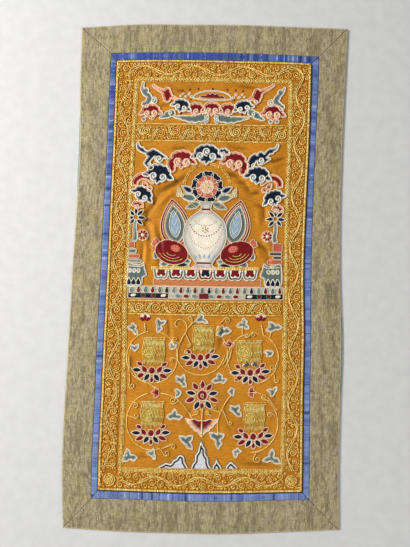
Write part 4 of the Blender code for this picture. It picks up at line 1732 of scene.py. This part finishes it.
class SILKPANEL_OT_lotus_register(bpy.types.Operator):
    """Work the lower field: lotuses on winding gold stems over white rocks"""

    bl_idname = "silkpanel.lotus_register"
    bl_label = "Work lotus field"

    def execute(self, context):
        work = defaultdict(Threads)
        for centre, size, slant in (
                ((-76, -147.5), 1.0, 0), ((-4.4, -126.5), 0.95, 3), ((70.5, -148.5), 1.0, 2),
                ((-74, -240), 0.96, 2), ((77, -243.5), 0.98, 1)):
            half_lotus(work, centre, size, slant)
        round_lotus(work, (0.2, -182))
        double_leaf(work)
        white_rocks(work)
        lotus_stems(work)
        small_things(work)
        finish_work(work, "lotus")
        blocks = defaultdict(Threads)
        for number, (across, up, width, height) in enumerate((
                (-75, -117, 35, 40), (-1.5, -97, 33, 38), (68, -116, 41, 33), (-73.5, -211, 36, 38),
                (78, -213, 34, 42))):
            gold_block(blocks, np.array((across, up), float), width, height, 50 + number)
        finish_work(blocks, "gold_blocks")
        return {"FINISHED"}


# ---- the middle field

# The upright line through the middle of the vase.
MIDDLE = -3.0


def slab(left, right, low, high, round_by=0.8):
    """A block with rounded corners."""
    corners = []
    for across, up, start in ((right, high, 0), (left, high, 90), (left, low, 180), (right, low, 270)):
        hub = (across - math.copysign(round_by, math.cos(math.radians(start + 45))),
               up - math.copysign(round_by, math.sin(math.radians(start + 45))))
        corners.append(arc(hub, round_by, start, start + 90))
    return np.vstack(corners)


def beside(side, *pairs):
    """Places given from the field's upright middle line, on its left (-1) or right (1) side."""
    return points(*pairs) * (side, 1) + (MIDDLE, 0)


def leaf_beside(work, side, root, turn, length, width, colour, stitch, rim_radius, lift):
    """A rimmed leaf that grows from a place beside the middle line, turned as on the left."""
    heading = turn if side < 0 else 180 - turn
    shape = placed(petal(length, width), beside(side, root)[0], heading)
    rimmed(work, [shape], colour, heading + stitch, 0.5, rim_radius, lift)


def bloom_petal(size):
    """A broad petal with a notched tip, growing along X from the origin."""
    return [
        ellipse(0.34 * size, 0.27 * size, (0.34 * size, 0)),
        disc((0.56 * size, 0.17 * size), 0.25 * size), disc((0.56 * size, -0.17 * size), 0.25 * size)]


def peony(work, heart, radius):
    """A full peony in three rings of broad petals about a gold coil."""
    rings = (
        (9, 0.30, 0.74, "navy", 8, 0.0), (7, 0.10, 0.64, "coral", 25, 0.45),
        (5, 0.0, 0.46, "cream_coral", 50, 0.85))
    for count, root, size, colour, start, lift in rings:
        for number in range(count):
            angle = start + number * 360 / count
            base = heart + root * radius * toward(angle)
            shapes = [placed(shape, base, angle) for shape in bloom_petal(size * radius)]
            rimmed(work, shapes, colour, angle, 0.5, 0.5, lift + 0.06 * (number % 3))
    pad(work["pale_gold"], [disc(heart, 0.17 * radius)], 0, 0.4, 1.2)
    coil(work, heart, 0.17 * radius, 30, 1, 1.0, colour="bright_gold", lift=1.7)


def rosette(work, centre, radius):
    """A small round flower: burgundy petals in a pale edge about a cream heart."""
    rimmed(work, [scallops(centre, radius, 8, 0.14)], "pink", 0, 0.35, 0.5, rim="cream_rim")
    for number in range(8):
        angle = 22.5 + number * 45
        spot = centre + 0.60 * radius * toward(angle)
        pad(work["burgundy"], [placed(lens(0.66 * radius, 0.36 * radius), spot, angle)], angle, 0.4,
            0.55, cell=1.2, sunk=SHALLOW)
    pad(work["cream"], [disc(centre, 0.26 * radius)], 90, 0.5, 0.65, cell=1.2)


def scallops(centre, radius, lobes, depth):
    """A round outline of even lobes."""
    angles = np.linspace(0, TAU, lobes * 8, endpoint=False)
    reach = radius * (1 - depth + depth * np.abs(np.cos(lobes * angles / 2)) ** 0.7)
    return round_steps(angles) * reach[:, None] + centre


def cloud_arch(work):
    """Clouds in turn navy and burgundy over the flowers."""
    tail = [taper(points((0.26, -0.02), (0.42, 0.10), (0.52, 0.02), (0.62, 0.04)), 0.16, 0.05)]
    cloud(work, (-6, 181), 47, "navy_cloud", 0, 5, 3)
    cloud(work, (20.5, 184), 17, "navy_cloud", -12, 3, 1, 0.1, tail)
    for side, heads in (
            (-1, ((-43, 172.5, 44, -4), (-78, 150, 46, -9), (-101, 118.5, 37, -30),
                  (-108, 102, 18, -8))),
            (1, ((37.5, 171.5, 43, -5), (74, 150, 42, -7), (99.5, 115.5, 37, 24), (107, 98, 18, -12)))):
        block = [disc((0.36, -0.21), 0.15), disc((0.33, -0.36), 0.13)]
        block = [shape * (side, 1) for shape in block]
        colours_of_heads = ("burgundy_cloud", "navy_cloud", "navy_cloud", "burgundy_cloud")
        for number, ((across, up, width, turn), colour) in enumerate(zip(heads, colours_of_heads)):
            cloud(work, (across, up), width, colour, turn, 5 if width > 20 else 3,
                  2 if width > 20 else 1, 0.0, block if number == 0 else ())
        crescent = beside(side, (111, 131), (110, 140), (101, 146), (92, 144), (86, 139), (83, 134))
        foot = [placed(petal(12, 8), beside(side, (92, 128))[0], 90 - 34 * side),
                disc(beside(side, (88, 127))[0], 4.2)]
        rimmed(work, [taper(crescent, 9, 3.0, 4.0)], "burgundy_cloud", 60, 0.6, 0.9)
        rimmed(work, foot, "burgundy_cloud", 60, 0.6, 0.9)
    left_corner = [
        taper(points((-112, 198), (-111, 191), (-106, 186), (-98, 182)), 2.5, 5, 3),
        disc((-105, 187), 3.6), disc((-88, 183), 5.2), disc((-95, 180), 4.4),
        taper(points((-97, 181), (-87, 182), (-78, 178), (-66, 174)), 6, 2.5, 6),
        taper(points((-86, 180), (-93, 173), (-97, 166), (-93, 159)), 6, 5, 2),
        disc((-97, 166), 4.6), disc((-91, 160), 4.4), disc((-79, 173), 6.2)]
    right_corner = [
        taper(points((103, 198), (99, 190), (90, 187), (84, 180), (74, 178)), 2.5, 7, 2),
        disc((93, 186), 3.6), disc((77, 181), 5.2),
        taper(points((72, 180), (64, 172), (62, 160)), 11, 9, 2), disc((66, 176), 5.6),
        taper(points((72, 170), (81, 172), (92, 176)), 9, 2.5, 3), disc((78, 172), 6.0)]
    curls = (
        (left_corner, (-78.5, 173), 5.0, -1, "sky"), (left_corner, (-93.5, 164.5), 3.6, 1, None),
        (right_corner, (77.5, 172.5), 5.0, 1, "sky"), (right_corner, (66.5, 165), 3.6, -1, None))
    for shapes, spot, size, handed, fill in curls:
        if fill:
            rimmed(work, shapes, "navy_cloud", 80, 0.6, 0.95, 0.3)
        cloud_curl(work, spot, size, 0, handed, 0.4, fill)


def bouquet(work):
    """A great peony in a gold halo, with leaves and gold sprays about it."""
    heart = np.array((MIDDLE, 131.0))
    for radius in (34.0, 37.0):
        gold(work, disc(heart, radius), closed=True)
    wave = np.linspace(0, TAU, 361)
    swing = 35.5 + 1.0 * np.sin(34 * wave)
    gold(work, round_steps(wave) * swing[:, None] + heart, scale=0.9)
    for side in (-1, 1):
        for root, turn, length, width, colour in (
                ((10, 106), 200, 24, 11, "teal_cloud"), ((16, 112), 168, 26, 12, "leaf"),
                ((22, 122), 150, 20, 10, "navy_cloud")):
            leaf_beside(work, side, root, turn, length, width, colour, 60, 0.55, 0.04 * (root[1] - 100))
        for root, turn, length in (((40, 118), 112, 13), ((44, 115), 78, 11), ((36, 115), 140, 10)):
            leaf_beside(work, side, root, turn, length, 6.4, "pale_gold", 0, 0.45, 0.012 * turn)
    peony(work, heart, 27.0)


def vase_and_leaves(work):
    """A cream vase with beaded swags, between great leaves and ripe fruit."""
    for side in (-1, 1):
        hub = beside(side, (47, 74))[0]
        for wide, high, colour, lift in (
                (45, 78, "burgundy", 0.0), (38, 69, "salmon", 0.3), (31, 60, "teal_cloud", 0.6),
                (17, 42, "sky", 0.9)):
            outline = placed(lens(high, wide, 0.82), hub, 90 - 9 * side)
            rimmed(work, [outline], colour, 90, 0.35, 0.6, lift)
        for lean in (1, -1):
            for tip in (-15, -3, 9):
                vein = points((tip, 0), (tip + 6, 3.2 * lean), (tip + 10, 6.4 * lean))
                cord(work["cream_rim"], placed(vein, hub, 90 - 9 * side), 0.4, 1.3)
        fruit = beside(side, (50, 31))[0]
        for root, turn, length, width, colour in (
                ((20, 20), 206, 24, 11, "leaf"), ((76, 20), 62, 22, 11, "teal_cloud"),
                ((22, 12), 186, 26, 11, "navy_cloud"), ((68, 12), 12, 18, 10, "leaf")):
            lift = 0.0 if colour == "leaf" else 0.25
            leaf_beside(work, side, root, turn, length, width, colour, 60, 0.6, lift)
        crown = [placed(petal(11, 6.4), fruit + (side * 21, 12), 32 * side + spread + 90 - 90 * side)
                 for spread in (-34, 0, 34)]
        rimmed(work, crown, "coral", 90, 0.45, 0.6, 0.6)
        rimmed(work, [ellipse(26, 18.0, fruit, 16 * side)], "burgundy", 70 * side, 0.8, 0.65, 0.9)
        for reach in (0.30, 0.56, 0.8):
            fold = arc((0, 0), (25 * reach, 16 * reach), 200, 330)
            fold = placed(fold, fruit, 16 * side, 1, side < 0)
            gold(work, fold, scale=0.9, lift=1.65, colour="pale_gold")
        seeds = fruit + (-side * 6, 6)
        pad(work["coral"], [ellipse(8.5, 6.0, seeds, 16 * side)], 90, 0.4, 1.7)
        for number in range(7):
            spot = seeds + (3.6 if number else 0) * toward(60 * number)
            pad(work["pink"], [disc(spot, 1.2)], 0, 0.4, 2.1, cell=1.2)
    half = smooth_path(points(
        (11, 108), (8, 103), (8, 96), (16, 90), (27, 80), (32.5, 66), (32.5, 50), (26, 34),
        (17, 22), (13, 15), (13, 12), (18, 9), (18, 7)), 5)
    outline = np.vstack((half, (half * (-1, 1))[::-1])) + (MIDDLE, 0)
    rimmed(work, [outline], "glaze", 90, 0.9, 0.7, 1.0)
    for low, high, reach, colour in (
            (94.5, 99.0, 7.0, "burgundy"), (90, 92, 12, "coral"), (13.5, 17.5, 11.5, "burgundy")):
        pad(work[colour], [slab(MIDDLE - reach, MIDDLE + reach, low, high)], 90, 0.4, 1.85)
    for drop, spread, size in ((10.0, 17, 1.3), (26.0, 25, 1.6), (44.0, 29, 1.4)):
        swag = arc((MIDDLE, 82), (spread, drop), 200, 340)
        for number, spot in enumerate(resampled(swag, 4.0)):
            colour = "coral" if number % 3 else "burgundy"
            pad(work[colour], [disc(spot, size)], 0, 0.5, 1.85, cell=1.2)
    for number in range(6):
        angle = number * 60 + 30
        spot = (MIDDLE, 66.0) + 4.6 * toward(angle)
        pad(work["coral"], [placed(lens(5.2, 3.0), spot, angle)], angle, 0.4, 1.85, cell=1.2)
    coil(work, (MIDDLE, 66.0), 1.9, 0, 1, 0.9, lift=2.1)
    for across, turn in ((-12, 118), (-6, 104), (0, 90), (6, 76), (12, 62)):
        pad(work["sky"], [placed(petal(10, 4.4), (MIDDLE + across, 21), turn)], turn, 0.4, 1.85,
            cell=1.3)


def altar(work):
    """A low altar: a gold edge over a row of lappets and a salmon cloth."""
    left, right = MIDDLE - 76, MIDDLE + 82
    rimmed(work, [resampled(slab(left, right + 6, -19.6, -9.0), 2.0, True)], "salmon", 0, 0.3, 0.5)
    for across, kind in zip(evenly(left, right, 7), (0, 2, 0, 1, 0, 2, 0)):
        shape = points(
            (-10.4, 6), (10.4, 6), (10.8, 0), (9.8, -6), (5.4, -10.2), (0, -8.8), (-5.4, -10.2),
            (-9.8, -6), (-10.8, 0))
        fill, core = (
            ("lappet_grey", "burgundy"), ("lappet_red", "navy"), ("lappet_navy", "burgundy"))[kind]
        outline = smooth_loop(shape, 5)
        edge = outline + (0, 30) * (outline[:, 1:] > 3)
        rimmed(work, [outline + (across, 0)], fill, 90, 0.5, 0.75, 0.4, outer=[edge + (across, 0)])
        heart = [disc((-3.6, -2.0), 3.7), disc((3.6, -2.0), 3.7), slab(-6.0, 6.0, 0.0, 5.8, 1.0)]
        pad(work[core], [shape + (across, 0) for shape in heart], 90, 0.5, 0.8, cell=1.3)
    edge = Run((left - 4, 7.0), (right + 4, 8.0))
    for depth in (-1.7, 0.0, 1.7):
        gold(work, edge.places((0, edge.length), depth), lift=1.0, colour="stem_gold", scale=1.5)


def shore(work, side):
    """One side's shore: waves, a hill, bands of ripe grain and a flowering tree."""
    def kept_in(shape):
        shape[:, 0] = np.clip(shape[:, 0], FIELD_LEFT - 2.5, FIELD_RIGHT + 2.0)
        return shape

    hill = smooth_loop(beside(
        side, (118, -19), (118, 13), (108, 12.5), (98, 11.5), (92, 15), (90, 6), (87, -4),
        (93, -8), (95, -19)), 5)
    rimmed(work, [kept_in(hill)], "teal_cloud", 15, 0.4, 0.7)
    crest = smooth_path(beside(side, (116, 9.5), (106, 9), (97, 8.5), (91, 11)))
    cord(work["cream_rim"], crest, 0.8, 0.5)
    for number in range(3):
        spot = beside(side, (112.6 - 6.6 * number, 2.6))[0]
        rimmed(work, [ellipse(2.9, 3.6, spot, 12 * side)], "cream", 90, 0.4, 0.5, 0.5)
        pad(work["navy"], [ellipse(1.0, 2.5, spot, 12 * side)], 90, 0.4, 0.9, cell=1.0)
        root = beside(side, (113.2 - 7.2 * number, -19.5))[0]
        wave = placed(petal(12.0, 7.6, 0.5), root, 90)
        rimmed(work, [wave], "navy", 90, 0.5, 0.75, 0.6)
    bands = {
        -1: ((37.5, 46, 12, "coral"), (28.5, 36, 15, "teal_cloud"), (21.5, 27, 20, "coral"),
             (14.5, 20, 23, "teal_cloud")),
        1: ((33.5, 46, 14, "coral"), (28.2, 32, 20, "navy"), (22.4, 26.2, 14, "navy"),
            (14.5, 21, 22, "coral"))}[side]
    for low, high, reach, colour in bands:
        left, right = sorted(beside(side, (119, 0), (119 - reach, 0))[:, 0])
        block = resampled(slab(left, right, low, high, 1.4), 1.6, True)
        rimmed(work, [kept_in(block)], colour, 90, 0.5, 0.5, 0.25)
        if colour == "teal_cloud":
            for number in range(3):
                dot = beside(side, (115.5 - 4.6 * number, (low + high) / 2))[0]
                pad(work["burgundy"], [disc(dot, 1.2)], 0, 0.4, 0.6, cell=1.0)
    trunk = taper(beside(side, (108, 47), (106.5, 56), (108, 66), (107, 80)), 8, 4.5)
    rimmed(work, [trunk], "teal_cloud", 90, 0.5, 0.55)
    for across, up, turn in (
            (107, 87, 90), (109, 86, 40), (105, 86, 138), (110, 83, -4), (104, 83, 184),
            (108, 81, -44), (105, 80, 224)):
        root = beside(side, (across, up))[0]
        heading = turn if side > 0 else 180 - turn
        shape = placed(petal(13.0, 5.6), root, heading)
        rimmed(work, [kept_in(shape)], "navy", heading, 0.5, 0.6, 0.3 + 0.0015 * (turn + 50))
    rosette(work, beside(side, (95.5, 56.5))[0], 8.8)


def railing(work):
    """A cream railing of small blocks over a banded plinth."""
    left, right = -117.2, 119.0
    rail = resampled(slab(left, right, -39.0, -20.6), 2.0, True)
    rimmed(work, [rail], "railing", 90, 0.35, 0.5, cell=2.2)
    for number, across in enumerate(evenly(left, right, 22)):
        colour = ("lappet_grey", "burgundy", "teal", "burgundy", "teal", "navy")[number % 6]
        bud_shape = [ellipse(3.1, 3.8, (across, -27.0)), disc((across, -22.9), 2.0)]
        rimmed(work, bud_shape, colour, 90, 0.45, 0.35, 0.4, cell=1.2, rim="cream_rim")
    for low, high in ((left + 1, left + 62), (right - 58, right - 1)):
        pad(work["navy"], [slab(low, high, -38.4, -30.4)], 0, 0.35, 0.4, cell=1.8)
        for number, across in enumerate(evenly(low, high, 4)):
            spot = (across, -34.4)
            if number % 3 == 0:
                pad(work["cream"], [ellipse(5.0, 2.7, spot, 8)], 90, 0.4, 0.75)
            else:
                rimmed(work, [ellipse(3.6, 3.0, spot)], "burgundy", 90, 0.4, 0.5, 0.75, rim="grey_rim")
    for number, across in enumerate(evenly(left + 70, right - 66, 8)):
        colour = ("lappet_grey", "burgundy")[number % 2]
        rimmed(work, [ellipse(4.5, 3.0, (across, -34.6))], colour, 90, 0.45, 0.35, 0.4, rim="cream_rim")
    pad(work["burgundy"], [slab(MIDDLE - 6, MIDDLE + 9, -38.6, -30.0)], 90, 0.5, 0.9)


class SILKPANEL_OT_middle_register(bpy.types.Operator):
    """Work the middle field: a vase of flowers under an arch of clouds"""

    bl_idname = "silkpanel.middle_register"
    bl_label = "Work middle field"

    def execute(self, context):
        arch, table, sides = defaultdict(Threads), defaultdict(Threads), defaultdict(Threads)
        cloud_arch(arch)
        finish_work(arch, "arch")
        altar(table)
        vase_and_leaves(table)
        bouquet(table)
        finish_work(table, "vase")
        for side in (-1, 1):
            shore(sides, side)
        railing(sides)
        finish_work(sides, "shore")
        return {"FINISHED"}


# ---- stage

def soft_light(name, place, size, power):
    """A square soft light that faces the panel's middle."""
    lamp = bpy.data.lights.new(name, "AREA")
    lamp.size = size
    lamp.energy = power
    holder = in_scene(name, lamp)
    holder.location = place
    holder.rotation_euler = (-Vector(place)).to_track_quat("-Z", "Y").to_euler()


class SILKPANEL_OT_stage(bpy.types.Operator):
    """Set the pale floor, the soft lights and the camera"""

    bl_idname = "silkpanel.stage"
    bl_label = "Set stage"

    def execute(self, context):
        stage = context.scene.silk_panel_stage
        mesh = bpy.data.meshes.new("floor")
        reach, below = 3.0, -0.0004
        mesh.from_pydata(
            [(-reach, -reach, below), (reach, -reach, below), (reach, reach, below),
             (-reach, reach, below)], [], [(0, 1, 2, 3)])
        mesh.materials.append(floor_material("pale_floor", tuple(stage.floor)))
        floor = in_scene("floor", mesh)
        soft_light("key_light", (-1.75, 0.50, 1.15), 0.5, 55.0)
        soft_light("fill_light", (0.8, -0.7, 1.2), 1.1, 5.0)
        world = bpy.data.worlds.new("soft_room")
        world.use_nodes = True
        backdrop = world.node_tree.nodes["Background"]
        backdrop.inputs["Color"].default_value = (0.92, 0.95, 1.0, 1.0)
        backdrop.inputs["Strength"].default_value = 0.30
        context.scene.world = world
        lens = bpy.data.cameras.new("camera")
        lens.sensor_width = 36.0
        lens.lens = stage.lens
        camera = in_scene("camera", lens)
        camera.location = stage.camera_place
        camera.rotation_euler = stage.camera_turn
        context.scene.camera = camera
        context.scene.view_settings.view_transform = "Standard"
        return {"FINISHED"}


# ---- add-on

STEPS = (
    SILKPANEL_OT_lining, SILKPANEL_OT_ground, SILKPANEL_OT_ribbon, SILKPANEL_OT_border,
    SILKPANEL_OT_gold_frame, SILKPANEL_OT_gold_bands, SILKPANEL_OT_sky_register,
    SILKPANEL_OT_middle_register, SILKPANEL_OT_lotus_register, SILKPANEL_OT_stage)


class SILKPANEL_PT_sidebar(bpy.types.Panel):
    """Lists the steps that make the panel"""

    bl_idname = "SILKPANEL_PT_sidebar"
    bl_label = "Silk Panel"
    bl_space_type = "VIEW_3D"
    bl_region_type = "UI"
    bl_category = "Silk Panel"

    def draw(self, context):
        for step in STEPS:
            self.layout.operator(step.bl_idname)


PROPERTIES = (
    ("silk_panel_threads", SilkPanelThreads),
    ("silk_panel_colours", SilkPanelColours),
    ("silk_panel_stage", SilkPanelStage))


def register():
    for name, group in PROPERTIES:
        bpy.utils.register_class(group)
        setattr(bpy.types.Scene, name, bpy.props.PointerProperty(type=group))
    for step in STEPS + (SILKPANEL_PT_sidebar,):
        bpy.utils.register_class(step)


def unregister():
    for step in reversed(STEPS + (SILKPANEL_PT_sidebar,)):
        bpy.utils.unregister_class(step)
    for name, group in reversed(PROPERTIES):
        delattr(bpy.types.Scene, name)
        bpy.utils.unregister_class(group)


def main():
    register()
    for step in STEPS:
        section, operator = step.bl_idname.split(".")
        getattr(getattr(bpy.ops, section), operator)()


if __name__ == "__main__":
    main()
